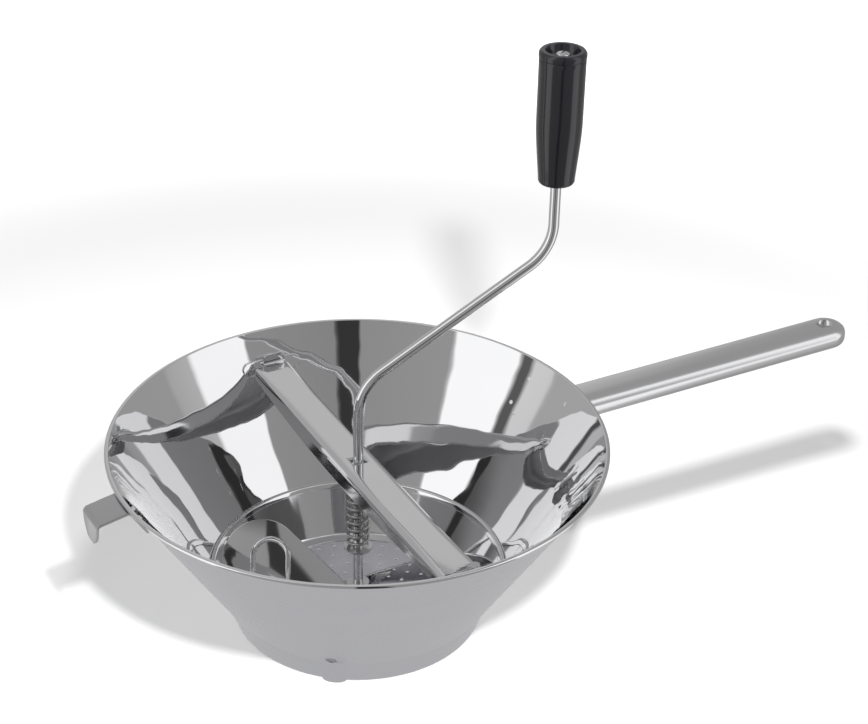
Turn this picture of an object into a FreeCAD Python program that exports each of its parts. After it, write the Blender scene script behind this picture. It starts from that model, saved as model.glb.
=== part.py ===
import FreeCAD, Part
import math
import os

import Sketcher

# Food mill: a conical bowl on a collar, with a sieve dish in its foot, a channel bar across it and a
# cranked rod through the bar that turns a two-winged blade against the sieve. Millimetres, +Z up,
# origin at the centre of the collar's foot, handle along +X, crossbar along Y.

# Driving dimensions
SIZES = {
    # bowl
    "rim_radius": 120.0,
    "rim_height": 97.0,
    "lip_width": 2.0,
    "lip_thick": 1.8,
    "lip_chamfer": 0.5,
    "kink_radius": 66.2,
    "kink_height": 13.4,
    "foot_radius": 61.3,
    "bowl_wall": 0.9,
    # lugs on the collar
    "lug_angle": 54.5,
    "lug_radius": 6.8,
    "lug_top_radius": 3.6,
    "lug_proud": 2.8,
    "lug_height": 7.5,
    "lug_slot_half": 2.6,
    "lug_slot_rise": 1.3,
    "lug_slot_above": 7.0,
    # obround pads that the bar ends rest against
    "seat_width": 32.2,
    "seat_tall": 6.5,
    "seat_thick": 0.8,
    "seat_corner": 3.2,
    "seat_below_bar": 3.2,
    # sieve dish
    "sieve_sheet": 0.8,
    "sieve_clearance": 0.2,
    "sieve_top": 26.0,
    "sieve_hem": 1.2,
    "sieve_hem_tall": 2.4,
    "sieve_ring_top": 2.6,
    "sieve_field_top": 2.0,
    "sieve_field_radius": 52.0,
    "sieve_hole_radius": 0.9,
    "sieve_hole_pitch": 8.0,
    "sieve_hole_rings": 6,
    # handle and its bracket
    "handle_height": 82.6,
    "handle_rise": 1.7,
    "handle_tip": 285.0,
    "handle_width": 21.5,
    "handle_thick": 12.5,
    "handle_wall": 1.2,
    "handle_top_round": 4.5,
    "handle_under_round": 6.8,
    "handle_solid_tip": 24.0,
    "bore_corner_share": 0.6,
    "hang_hole_radius": 3.75,
    "hang_hole_inset": 11.3,
    "bracket_sheet": 1.5,
    "bracket_span": 19.0,
    "bracket_low": 76.0,
    "bracket_high": 94.0,
    "bracket_plug": 14.0,
    "plug_clearance": 1.0,
    "weld_gap": 0.1,
    # pot hook
    "hook_sheet": 1.5,
    "hook_width": 18.5,
    "hook_angle": 180.6,
    "hook_top": 94.6,
    "hook_shoulder": 91.2,
    "hook_reach": 134.5,
    "hook_tip": 78.5,
    "hook_foot": 81.0,
    "hook_bend": 3.0,
    "hook_tip_round": 8.5,
    # crossbar and bush
    "bar_angle": 1.1,
    "bar_top": 84.5,
    "bar_width": 20.0,
    "bar_sheet": 1.2,
    "bar_bend": 4.2,
    "bar_flange_mid": 11.5,
    "bar_flange_end": 5.0,
    "bar_flange_half": 102.0,
    "bar_tab_width": 12.0,
    "bar_tab_right": 8.4,
    "bar_tab_reach": 105.6,
    "bar_tab_rise": 5.1,
    "bar_tab_bend": 1.2,
    "bar_tab_corner": 2.0,
    "bar_toe_width": 4.2,
    "bar_end_lap": 0.5,
    "bar_end_gap": 0.7,
    "bar_hole_gap": 0.4,
    "bush_radius": 6.8,
    "bush_length": 10.0,
    "seat_gap": 0.1,
    # crank
    "rod_radius": 2.5,
    "rod_foot": 1.4,
    "rod_bend": 26.0,
    "arm_foot": 124.4,
    "arm_head": 189.7,
    "crank_radius": 91.0,
    "crank_angle": -15.0,
    "run_fit": 0.06,
    "fixed_fit": 0.02,
    # spring, its washer and clip
    "spring_wire": 1.5,
    "spring_radius": 5.0,
    "spring_turns": 9.0,
    "spring_sides": 8,
    "spring_foot": 35.0,
    "washer_radius": 6.9,
    "washer_thick": 1.2,
    "clip_radius": 4.9,
    "clip_thick": 0.8,
    "clip_groove": 0.5,
    "clip_opening": 60.0,
    # blade
    "blade_sheet": 1.2,
    "blade_foot": 3.5,
    "blade_angle": 155.0,
    "wing_tilt": 54.0,
    "wing_offset": 12.0,
    "wing_reach": 53.5,
    "wing_lobe_out": 47.5,
    "wing_lobe_up": 26.0,
    "wing_lobe_radius": 19.6,
    "wing_heel": 6.0,
    "wing_neck_out": 10.0,
    "wing_neck_up": 17.8,
    "bead_radius": 1.5,
    "bead_half": 8.7,
    "bead_out": 43.4,
    "bead_up": 27.2,
    "bead_foot": 9.0,
    "blade_disc_radius": 15.0,
    "hub_radius": 5.5,
    "hub_length": 9.0,
    "pin_radius": 0.9,
    "pin_length": 12.0,
    # grip
    "grip_foot": 224.0,
    "grip_length": 63.5,
    "grip_foot_radius": 8.4,
    "grip_body_radius": 10.5,
    "grip_ring_radius": 10.8,
    "grip_ring_tall": 3.2,
    "grip_taper_head": 29.0,
    "grip_chamfer": 1.2,
    "grip_recess_radius": 7.5,
    "grip_recess_deep": 4.6,
    "collar_radius": 4.6,
    "collar_length": 2.6,
    "collar_gap": 0.3,
    "grip_washer_radius": 5.6,
    "grip_washer_thick": 0.9,
    "screw_head_radius": 3.3,
    "screw_head_tall": 2.2,
    "screw_head_side": 1.0,
    "screw_crown_radius": 2.2,
    "screw_shank_radius": 1.5,
    "screw_length": 12.0,
    "screw_slot": 0.9,
    # allowance by which a cutting shape runs past the face it cuts
    "overrun": 1.0,
}

doc = FreeCAD.newDocument("food_mill")


def make_sheet():
    """Write the driving dimensions into the document's sheet, one named cell each."""
    sheet = doc.addObject("Spreadsheet::Sheet", "Sizes")
    for row, (name, value) in enumerate(SIZES.items(), start=1):
        sheet.set("A%d" % row, name)
        sheet.set("B%d" % row, str(value))
        sheet.setAlias("B%d" % row, name)
    doc.recompute()
    return sheet


sizes = make_sheet()


class Sheet:
    """Gives each size its expression, so that a formula reads as the size's own name."""

    def __getattr__(self, name):
        if name not in SIZES:
            raise AttributeError(name)
        return "Sizes." + name


S = Sheet()


def number(expression):
    """The present value of an expression."""
    return float(sizes.evalExpression(str(expression)))


def bind(thing, **properties):
    """Tie properties of an object to expressions."""
    for name, expression in properties.items():
        thing.setExpression(name.replace("__", "."), str(expression))


# Formulas that several pieces share
CONE_SLOPE = "((%s - %s - %s) / (%s - %s - %s))" % (
    S.rim_radius, S.lip_width, S.kink_radius, S.rim_height, S.lip_thick, S.kink_height)
LEAN = "sqrt(1 + %s ^ 2)" % CONE_SLOPE
WALL_ACROSS = "(%s * %s)" % (S.bowl_wall, LEAN)
SIEVE_ACROSS = "(%s * %s)" % (S.sieve_sheet, LEAN)


def cone_outside(height):
    """Radius of the bowl's outer wall at a height."""
    return "(%s + (%s - %s) * %s)" % (S.kink_radius, height, S.kink_height, CONE_SLOPE)


def cone_inside(height):
    """Radius of the bowl's inner wall at a height."""
    return "(%s - %s)" % (cone_outside(height), WALL_ACROSS)


def sieve_outside(height):
    """Radius of the sieve dish's outer wall at a height."""
    return "(%s - %s)" % (cone_inside(height), S.sieve_clearance)


def sieve_inside(height):
    """Radius of the sieve dish's inner wall at a height."""
    return "(%s - %s)" % (sieve_outside(height), SIEVE_ACROSS)


BAR_UNDER = "(%s - %s)" % (S.bar_top, S.bar_sheet)
SPRING_HEAD = "(%s - %s - %s)" % (BAR_UNDER, S.seat_gap, S.bush_length)
HUB_FOOT = "(%s + %s / 2 + %s)" % (S.blade_foot, S.blade_sheet, S.seat_gap)
HUB_MIDDLE = "(%s + %s / 2)" % (HUB_FOOT, S.hub_length)
RECESS_FLOOR = "(%s - %s)" % (S.grip_length, S.grip_recess_deep)
ROD_HEAD = "(%s + %s - %s)" % (S.grip_foot, RECESS_FLOOR, S.collar_gap)
GRIP_X = "(%s * cos(%s))" % (S.crank_radius, S.crank_angle)
GRIP_Y = "(%s * sin(%s))" % (S.crank_radius, S.crank_angle)


# Drawing helpers
def new_body(name):
    """An empty body whose label is the piece's name."""
    body = doc.addObject("PartDesign::Body", name)
    body.Label = name
    return body


def origin(body, role):
    """One of the body's own planes or axes."""
    return next(f for f in body.Origin.OriginFeatures if f.Role == role)


def new_sketch(body, name, plane):
    """A sketch on one of the body's own planes."""
    sketch = body.newObject("Sketcher::SketchObject", name)
    sketch.AttachmentSupport = (origin(body, plane), [""])
    sketch.MapMode = "FlatFace"
    return sketch


def pin(sketch, edge, end, place, kinds=("DistanceX", "DistanceY")):
    """Hold one end of an edge at a place given by two expressions, or in one direction only."""
    for kind, expression in zip(("DistanceX", "DistanceY"), place):
        if kind in kinds:
            index = sketch.addConstraint(Sketcher.Constraint(kind, -1, 1, edge, end, number(expression)))
            sketch.setExpression("Constraints[%d]" % index, str(expression))


def hold_radius(sketch, edge, expression):
    """Hold the radius of a circle or an arc."""
    index = sketch.addConstraint(Sketcher.Constraint("Radius", edge, number(expression)))
    sketch.setExpression("Constraints[%d]" % index, str(expression))


def point(place):
    """The present place of a pair of expressions."""
    return FreeCAD.Vector(number(place[0]), number(place[1]), 0)


def outline(sketch, corners):
    """Draw a closed straight-sided outline through corners given as pairs of expressions."""
    count = len(corners)
    first = sketch.GeometryCount
    for i in range(count):
        sketch.addGeometry(Part.LineSegment(point(corners[i]), point(corners[(i + 1) % count])))
    for i in range(count):
        following = first + (i + 1) % count
        sketch.addConstraint(Sketcher.Constraint("Coincident", first + i, 2, following, 1))
        pin(sketch, first + i, 1, corners[i])


def circle(sketch, centre, radius):
    """Draw a circle."""
    middle = point(centre)
    edge = sketch.addGeometry(Part.Circle(middle, FreeCAD.Vector(0, 0, 1), number(radius)))
    pin(sketch, edge, 3, centre)
    hold_radius(sketch, edge, radius)


def feature(body, kind, name, sketch, **properties):
    """A feature on a sketch, with its sizes tied to expressions."""
    made = body.newObject("PartDesign::" + kind, name)
    made.Profile = sketch
    bind(made, **properties)
    return made


def turned(body, kind, name, sketch, angle=None):
    """A turned shape about the Z axis, whole or centred on the sketch for part of a turn."""
    made = body.newObject("PartDesign::" + kind, name)
    made.Profile = sketch
    made.ReferenceAxis = (sketch, ["V_Axis"])
    if angle:
        made.Midplane = True
        bind(made, Angle=angle)
    return made


def repeat(body, name, originals, count):
    """Copies of features round the Z axis."""
    pattern = body.newObject("PartDesign::PolarPattern", name)
    pattern.Originals = originals
    pattern.Axis = (origin(body, "Z_Axis"), [""])
    pattern.Angle = 360
    pattern.Occurrences = count
    body.Tip = pattern
    return pattern


def round_edges(body, name, base, radius, wanted):
    """Round the edges of a feature that pass a test."""
    doc.recompute()
    edges = ["Edge%d" % (i + 1) for i, edge in enumerate(base.Shape.Edges) if wanted(edge)]
    fillet = body.newObject("PartDesign::Fillet", name)
    fillet.Base = (base, edges)
    bind(fillet, Radius=radius)
    return fillet


def middle_of(edge):
    """The point half way along an edge."""
    return edge.valueAt((edge.FirstParameter + edge.LastParameter) / 2)


def near(value, expression):
    """Whether a coordinate lies at an expression's value."""
    return abs(value - number(expression)) < 0.01


def ring(name, outer, inner, foot, height, opening=None):
    """A flat ring on the Z axis, closed or with an opening."""
    disc = doc.addObject("Part::Cylinder", name + "_disc")
    bind(disc, Radius=outer, Height=height, Placement__Base__z=foot)
    if opening:
        bind(disc, Angle="360 - " + opening)
    bore = doc.addObject("Part::Cylinder", name + "_bore")
    bind(bore, Radius=inner, Height="%s + 2 * %s" % (height, S.overrun),
         Placement__Base__z="%s - %s" % (foot, S.overrun))
    cut = doc.addObject("Part::Cut", name)
    cut.Base = disc
    cut.Tool = bore
    cut.Label = name
    return cut


# Bowl
def make_bowl():
    """The pressed bowl: filled outside shape first, then hollowed."""
    body = new_body("bowl")
    lip_under = "%s - %s" % (S.rim_height, S.lip_thick)
    outside = new_sketch(body, "bowl_outside", "XZ_Plane")
    outline(outside, [
        ("0", "0"),
        (S.foot_radius, "0"),
        (S.kink_radius, S.kink_height),
        ("%s - %s" % (S.rim_radius, S.lip_width), lip_under),
        (S.rim_radius, lip_under),
        (S.rim_radius, "%s - %s" % (S.rim_height, S.lip_chamfer)),
        ("%s - %s" % (S.rim_radius, S.lip_chamfer), S.rim_height),
        ("0", S.rim_height),
    ])
    turned(body, "Revolution", "bowl_form", outside)
    add_lug_bumps(body)
    doc.recompute()
    inside = new_sketch(body, "bowl_inside", "XZ_Plane")
    above = "%s + %s" % (S.rim_height, S.overrun)
    below = "-" + S.overrun
    foot_inside = "%s - %s" % (S.foot_radius, WALL_ACROSS)
    outline(inside, [
        ("0", below),
        (foot_inside, below),
        (foot_inside, "0"),
        (cone_inside(S.kink_height), S.kink_height),
        (cone_inside(above), above),
        ("0", above),
    ])
    turned(body, "Groove", "bowl_hollow", inside)
    cut_lugs(body)
    return body


def lug_place(feature_object, radius, height):
    """Put a primitive at the first lug's direction, at a radius and height."""
    bind(feature_object,
         Placement__Base__x="%s * cos(%s)" % (radius, S.lug_angle),
         Placement__Base__y="%s * sin(%s)" % (radius, S.lug_angle),
         Placement__Base__z=height)


LUG_CENTRE = "(%s + %s - %s)" % (S.foot_radius, S.lug_proud, S.lug_radius)


def add_lug_bumps(body):
    """Rounded bumps on the collar, one opposite the other."""
    bump = body.newObject("PartDesign::AdditiveCone", "lug_bump")
    bind(bump, Radius1=S.lug_radius, Radius2=S.lug_top_radius, Height=S.lug_height)
    lug_place(bump, LUG_CENTRE, "0")
    repeat(body, "lug_bumps", [bump], 2)


def cut_lugs(body):
    """Hollow the lugs from below and cut a lens-shaped slot above both."""
    hollow = body.newObject("PartDesign::SubtractiveCone", "lug_hollow")
    bind(hollow, Radius1="%s - %s" % (S.lug_radius, S.bowl_wall),
         Radius2="%s - %s" % (S.lug_top_radius, S.bowl_wall), Height="%s - %s" % (S.lug_height, S.bowl_wall))
    lug_place(hollow, LUG_CENTRE, "0")
    repeat(body, "lug_hollows", [hollow], 2)
    doc.recompute()
    lens = new_sketch(body, "lug_lens", "XZ_Plane")
    lens.AttachmentOffset = FreeCAD.Placement(
        FreeCAD.Vector(), FreeCAD.Rotation(FreeCAD.Vector(0, 1, 0), 90))
    bind(lens, AttachmentOffset__Rotation__Angle="90 + " + S.lug_angle)
    draw_lens(lens, "%s + %s" % (S.lug_height, S.lug_slot_above))
    slot = feature(body, "Pocket", "lug_slot", lens, Length="2 * " + S.rim_radius)
    slot.Midplane = True


def draw_lens(sketch, height):
    """A level lens: two equal arcs that meet in points."""
    left, right = ("-" + S.lug_slot_half, height), (S.lug_slot_half, height)
    for side in ("+", "-"):
        crest = ("0", "%s %s %s" % (height, side, S.lug_slot_rise))
        sketch.addGeometry(Part.Arc(point(left), point(crest), point(right)))
    for edge in (0, 1):
        hold_radius(sketch, edge, "(%s ^ 2 + %s ^ 2) / (2 * %s)" % (
            S.lug_slot_half, S.lug_slot_rise, S.lug_slot_rise))
    sketch.addConstraint(Sketcher.Constraint("Coincident", 0, 1, 1, 2))
    sketch.addConstraint(Sketcher.Constraint("Coincident", 0, 2, 1, 1))
    pin(sketch, 0, 1, right)
    pin(sketch, 0, 2, left)


# Sieve dish
def make_sieve():
    """The dish that nests in the foot of the bowl, with a hemmed edge and rings of holes."""
    body = new_body("sieve_disc")
    ring_under = "(%s - %s)" % (S.sieve_ring_top, S.sieve_sheet)
    field_under = "(%s - %s)" % (S.sieve_field_top, S.sieve_sheet)
    step = "(%s + %s)" % (S.sieve_field_radius, S.sieve_sheet)
    pivot = "(%s + %s)" % (S.rod_radius, S.run_fit)
    hem_foot = "(%s - %s)" % (S.sieve_top, S.sieve_hem_tall)
    section = new_sketch(body, "sieve_section", "XZ_Plane")
    outline(section, [
        (pivot, field_under),
        (step, field_under),
        (step, ring_under),
        (sieve_outside(ring_under), ring_under),
        (sieve_outside(S.sieve_top), S.sieve_top),
        ("%s - %s" % (sieve_inside(S.sieve_top), S.sieve_hem), S.sieve_top),
        ("%s - %s" % (sieve_inside(hem_foot), S.sieve_hem), hem_foot),
        (sieve_inside(hem_foot), hem_foot),
        (sieve_inside(S.sieve_ring_top), S.sieve_ring_top),
        (S.sieve_field_radius, S.sieve_ring_top),
        (S.sieve_field_radius, S.sieve_field_top),
        (pivot, S.sieve_field_top),
    ])
    turned(body, "Revolution", "sieve_form", section)
    doc.recompute()
    for k in range(1, int(number(S.sieve_hole_rings)) + 1):
        make_hole_ring(body, k)
    return body


def make_hole_ring(body, k):
    """One ring of six-sided holes: six more in each ring than in the one inside it."""
    sketch = new_sketch(body, "hole_sketch_%d" % k, "XY_Plane")
    centre = "%d * %s" % (k, S.sieve_hole_pitch)
    outline(sketch, [
        ("%s + %s * cos(%d)" % (centre, S.sieve_hole_radius, 60 * i),
         "%s * sin(%d)" % (S.sieve_hole_radius, 60 * i))
        for i in range(6)
    ])
    hole = feature(body, "Pocket", "hole_%d" % k, sketch, Length="%s + %s" % (S.sieve_field_top, S.overrun))
    hole.Reversed = True
    repeat(body, "hole_ring_%d" % k, [hole], 6 * k)
    doc.recompute()


# Handle and its bracket
def handle_face(height):
    """Radius at which the handle's root meets the bracket, at a height in the handle's own frame."""
    world = "(%s + %s * tan(%s) + %s)" % (S.handle_height, S.rim_radius, S.handle_rise, height)
    return "(%s + 3 * %s + %s * %s)" % (cone_outside(world), S.weld_gap, S.bracket_sheet, LEAN)


def make_handle():
    """A flattened-oval tube with a rounded tip, cut to the slope of the bowl at its root."""
    body = new_body("handle")
    body.Placement.Rotation = FreeCAD.Rotation(FreeCAD.Vector(0, 1, 0), -1)
    bind(body, Placement__Base__z=S.handle_height, Placement__Rotation__Angle="-" + S.handle_rise)
    root = "(%s - %s)" % (handle_face("-%s / 2" % S.handle_thick), S.overrun)
    half = "(%s / 2)" % S.handle_width
    bend = "(%s - %s)" % (S.handle_tip, half)
    plan = new_sketch(body, "handle_plan", "XY_Plane")
    draw_tongue(plan, root, bend, half)
    bar = feature(body, "Pad", "handle_bar", plan, Length=S.handle_thick)
    bar.Midplane = True
    is_side = lambda edge: middle_of(edge).x > number(root) + 0.01
    top = round_edges(body, "handle_top_rounds", bar, S.handle_top_round,
                      lambda e: is_side(e) and is_level(e, "%s / 2" % S.handle_thick))
    under = round_edges(body, "handle_under_rounds", top, S.handle_under_round,
                        lambda e: is_side(e) and is_level(e, "-%s / 2" % S.handle_thick))
    body.Tip = under
    doc.recompute()
    hollow_handle(body, root)
    hole = new_sketch(body, "hang_sketch", "XY_Plane")
    circle(hole, ("%s - %s" % (S.handle_tip, S.hang_hole_inset), "0"), S.hang_hole_radius)
    through = feature(body, "Pocket", "hang_hole", hole, Length="2 * " + S.handle_thick)
    through.Midplane = True
    doc.recompute()
    slope_root(body, root)
    return body


def is_level(edge, height):
    """Whether both ends of an edge lie at one height."""
    return all(near(v.Point.z, height) for v in edge.Vertexes)


def draw_tongue(sketch, root, bend, half):
    """A strip along X from a root to a full-round end."""
    corners = [(root, "-" + half), (bend, "-" + half), (bend, half), (root, half)]
    sketch.addGeometry(Part.LineSegment(point(corners[0]), point(corners[1])))
    arc = Part.Circle(point((bend, "0")), FreeCAD.Vector(0, 0, 1), number(half))
    sketch.addGeometry(Part.ArcOfCircle(arc, -math.pi / 2, math.pi / 2))
    sketch.addGeometry(Part.LineSegment(point(corners[2]), point(corners[3])))
    sketch.addGeometry(Part.LineSegment(point(corners[3]), point(corners[0])))
    for i in range(4):
        sketch.addConstraint(Sketcher.Constraint("Coincident", i, 2, (i + 1) % 4, 1))
    pin(sketch, 0, 1, corners[0])
    pin(sketch, 0, 2, corners[1])
    pin(sketch, 2, 1, corners[2])
    pin(sketch, 3, 1, corners[3])
    pin(sketch, 1, 3, (bend, "0"), ("DistanceX",))


def oval_corners(width, thick, top_cut, under_cut):
    """An eight-cornered section: a width, a thickness and its upper and lower corner cuts."""
    w = "(%s / 2)" % width
    h = "(%s / 2)" % thick
    return [
        ("-(%s - %s)" % (w, under_cut), "-" + h),
        ("%s - %s" % (w, under_cut), "-" + h),
        (w, "-(%s - %s)" % (h, under_cut)),
        (w, "%s - %s" % (h, top_cut)),
        ("%s - %s" % (w, top_cut), h),
        ("-(%s - %s)" % (w, top_cut), h),
        ("-" + w, "%s - %s" % (h, top_cut)),
        ("-" + w, "-(%s - %s)" % (h, under_cut)),
    ]


def hollow_handle(body, root):
    """The bore of the tube, up to the flattened tip."""
    section = new_sketch(body, "handle_bore_section", "YZ_Plane")
    bind(section, AttachmentOffset__Base__z="%s - %s" % (root, S.overrun))
    outline(section, oval_corners(
        "(%s - 2 * %s)" % (S.handle_width, S.handle_wall), "(%s - 2 * %s)" % (S.handle_thick, S.handle_wall),
        "(%s * %s)" % (S.bore_corner_share, S.handle_top_round),
        "(%s * %s)" % (S.bore_corner_share, S.handle_under_round)))
    bore = feature(body, "Pocket", "handle_bore", section,
                   Length="%s - %s - %s" % (S.handle_tip, S.handle_solid_tip, root))
    bore.Reversed = True
    doc.recompute()


def slope_root(body, root):
    """Cut the root parallel to the bowl's wall."""
    wedge = new_sketch(body, "handle_root_wedge", "XZ_Plane")
    low = "(-%s / 2 - %s)" % (S.handle_thick, S.overrun)
    high = "(%s / 2 + %s)" % (S.handle_thick, S.overrun)
    behind = "%s - 2 * %s" % (root, S.overrun)
    outline(wedge, [
        (behind, low),
        (handle_face(low), low),
        (handle_face(high), high),
        (behind, high),
    ])
    cut = feature(body, "Pocket", "handle_root", wedge, Length="2 * " + S.handle_width)
    cut.Midplane = True


def make_bracket():
    """A saddle that lies on the wall, with a plug that the handle tube slides over."""
    body = new_body("handle_bracket")
    near_face = lambda z: "(%s + %s)" % (cone_outside(z), S.weld_gap)
    far_face = lambda z: "(%s + %s * %s)" % (near_face(z), S.bracket_sheet, LEAN)
    section = new_sketch(body, "saddle_section", "XZ_Plane")
    outline(section, [
        (near_face(S.bracket_low), S.bracket_low),
        (far_face(S.bracket_low), S.bracket_low),
        (far_face(S.bracket_high), S.bracket_high),
        (near_face(S.bracket_high), S.bracket_high),
    ])
    turned(body, "Revolution", "saddle", section, S.bracket_span)
    middle = "(%s + %s * tan(%s))" % (S.handle_height, S.rim_radius, S.handle_rise)
    side = new_sketch(body, "plug_section", "XZ_Plane")
    half = "(%s / 2 - %s - %s)" % (S.handle_thick, S.handle_wall, S.plug_clearance)
    low = "(%s - %s)" % (middle, half)
    high = "(%s + %s)" % (middle, half)
    end = "%s + %s" % (far_face(high), S.bracket_plug)
    outline(side, [
        ("%s + %s / 2" % (near_face(low), S.bracket_sheet), low),
        (end, low),
        (end, high),
        ("%s + %s / 2" % (near_face(high), S.bracket_sheet), high),
    ])
    plug = feature(body, "Pad", "plug", side,
                   Length="%s - 2 * (%s + %s + %s)" % (
                       S.handle_width, S.handle_wall, S.plug_clearance, S.handle_top_round))
    plug.Midplane = True
    return body


# Pot hook
def make_hook():
    """A strip welded to the wall, bent outwards under the rim on a slope, and down at its end."""
    body = new_body("pot_hook")
    bind(body, Placement__Rotation__Angle=S.hook_angle)
    wall = lambda z: "(%s + %s)" % (cone_outside(z), S.weld_gap)
    across = "(%s * %s)" % (S.hook_sheet, LEAN)
    slope = "((%s - %s) / (%s - %s))" % (S.hook_top, S.hook_shoulder, S.hook_reach, wall(S.hook_top))
    drop = "(%s * sqrt(1 + %s ^ 2))" % (S.hook_sheet, slope)
    under = "(%s - (%s * %s + %s) / (1 + %s * %s))" % (S.hook_top, slope, across, drop, slope, CONE_SLOPE)
    inner = "(%s - %s)" % (S.hook_reach, S.hook_sheet)
    elbow = "(%s + %s * %s - %s)" % (S.hook_shoulder, slope, S.hook_sheet, drop)
    side = new_sketch(body, "hook_side", "XZ_Plane")
    outline(side, [
        (wall(S.hook_foot), S.hook_foot),
        ("%s + %s" % (wall(S.hook_foot), across), S.hook_foot),
        ("%s + %s" % (wall(under), across), under),
        (inner, elbow),
        (inner, S.hook_tip),
        (S.hook_reach, S.hook_tip),
        (S.hook_reach, S.hook_shoulder),
        (wall(S.hook_top), S.hook_top),
    ])
    strip = feature(body, "Pad", "hook_strip", side, Length=S.hook_width)
    strip.Midplane = True
    outer_bend = round_edges(body, "hook_outer_bend", strip, S.hook_bend, lambda e: (
        near(middle_of(e).x, S.hook_reach) and near(middle_of(e).z, S.hook_shoulder)))
    inner_bend = round_edges(body, "hook_inner_bend", outer_bend, "%s - %s" % (S.hook_bend, S.hook_sheet),
                             lambda e: near(middle_of(e).x, inner) and near(middle_of(e).z, elbow))
    tip = round_edges(body, "hook_tip_rounds", inner_bend, S.hook_tip_round, lambda e: (
        near(middle_of(e).z, S.hook_tip) and near(abs(middle_of(e).y), S.hook_width + " / 2")))
    body.Tip = tip
    return body


# Seats of the crossbar
def make_seat(name, turn):
    """A thin obround pad welded inside the wall, in front of one end of the bar."""
    body = new_body(name)
    bind(body, Placement__Rotation__Angle=turn)
    middle = "(%s - %s)" % (S.bar_top, S.seat_below_bar)
    low, high = ("(%s %s %s / 2)" % (middle, sign, S.seat_tall) for sign in "-+")
    half = "(%s / 2)" % S.seat_width
    front = new_sketch(body, "seat_front", "XZ_Plane")
    outline(front, [("-" + half, low), (half, low), (half, high), ("-" + half, high)])
    block = feature(body, "Pad", "seat_block", front, Length=S.rim_radius)
    block.Reversed = True
    round_edges(body, "seat_ends", block, S.seat_corner, lambda e: (
        near(abs(middle_of(e).x), half) and near(e.Length, S.rim_radius)))
    doc.recompute()
    below, above = "(%s - %s)" % (low, S.overrun), "(%s + %s)" % (high, S.overrun)
    hollow = new_sketch(body, "seat_hollow", "YZ_Plane")
    outline(hollow, [("0", below), (seat_face(below), below), (seat_face(above), above), ("0", above)])
    turned(body, "Groove", "seat_inside", hollow)
    back = lambda z: "(%s - %s)" % (cone_inside(z), S.weld_gap)
    past = "(%s + %s)" % (S.rim_radius, S.seat_width)
    beyond = new_sketch(body, "seat_beyond", "YZ_Plane")
    outline(beyond, [(back(below), below), (past, below), (past, above), (back(above), above)])
    turned(body, "Groove", "seat_outside", beyond)
    return body


def seat_face(height):
    """Radius of the pads' free face at a height."""
    return "(%s - %s - %s * %s)" % (cone_inside(height), S.weld_gap, S.seat_thick, LEAN)


# Crossbar and its bush
def make_crossbar():
    """A channel across the bowl: web on top, flanges deepest in the middle, tabs turned up at the ends."""
    body = new_body("crossbar")
    bind(body, Placement__Rotation__Angle=S.bar_angle)
    half = "(%s / 2)" % S.bar_width
    inner = "(%s - %s)" % (half, S.bar_sheet)
    foot = "(%s - %s)" % (S.bar_top, S.bar_flange_mid)
    section = new_sketch(body, "bar_section", "XZ_Plane")
    outline(section, [
        ("-" + half, foot),
        ("-" + inner, foot),
        ("-" + inner, BAR_UNDER),
        (inner, BAR_UNDER),
        (inner, foot),
        (half, foot),
        (half, S.bar_top),
        ("-" + half, S.bar_top),
    ])
    channel = feature(body, "Pad", "channel", section, Length="2 * " + S.bar_flange_half)
    channel.Midplane = True
    outer = round_edges(body, "bar_outer_bends", channel, S.bar_bend, lambda e: (
        near(middle_of(e).z, S.bar_top) and near(abs(middle_of(e).x), half)))
    bends = round_edges(body, "bar_inner_bends", outer, "%s - %s" % (S.bar_bend, S.bar_sheet), lambda e: (
        near(middle_of(e).z, BAR_UNDER) and near(abs(middle_of(e).x), inner)))
    body.Tip = bends
    doc.recompute()
    arch_flanges(body, foot)
    add_bar_ends(body)
    hole = new_sketch(body, "bar_hole_sketch", "XY_Plane")
    circle(hole, ("0", "0"), "%s + %s" % (S.rod_radius, S.bar_hole_gap))
    cut = feature(body, "Pocket", "bar_hole", hole, Length="%s + %s" % (S.bar_top, S.overrun))
    cut.Reversed = True
    return body


def arch_flanges(body, foot):
    """Trim the flanges to an arc, so that they are shallow at the ends."""
    sketch = new_sketch(body, "flange_arc", "YZ_Plane")
    end = S.bar_flange_half
    high = "(%s - %s)" % (S.bar_top, S.bar_flange_end)
    low = "(%s - %s)" % (foot, S.overrun)
    left, right, crest = ("-" + end, high), (end, high), ("0", foot)
    arc = Part.Arc(point(left), point(crest), point(right))
    sketch.addGeometry(arc)
    sketch.addGeometry(Part.LineSegment(point(right), point((end, low))))
    sketch.addGeometry(Part.LineSegment(point((end, low)), point(("-" + end, low))))
    sketch.addGeometry(Part.LineSegment(point(("-" + end, low)), point(left)))
    arc_left, arc_right = (1, 2) if arc.StartPoint.x < arc.EndPoint.x else (2, 1)
    sketch.addConstraint(Sketcher.Constraint("Coincident", 0, arc_right, 1, 1))
    sketch.addConstraint(Sketcher.Constraint("Coincident", 1, 2, 2, 1))
    sketch.addConstraint(Sketcher.Constraint("Coincident", 2, 2, 3, 1))
    sketch.addConstraint(Sketcher.Constraint("Coincident", 3, 2, 0, arc_left))
    pin(sketch, 1, 1, right)
    pin(sketch, 2, 1, (end, low))
    pin(sketch, 3, 1, ("-" + end, low))
    pin(sketch, 3, 2, left)
    rise = "(%s - %s)" % (S.bar_flange_mid, S.bar_flange_end)
    hold_radius(sketch, 0, "(%s ^ 2 + %s ^ 2) / (2 * %s)" % (end, rise, rise))
    cut = feature(body, "Pocket", "flange_trim", sketch, Length="2 * " + S.bar_width)
    cut.Midplane = True
    doc.recompute()


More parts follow.
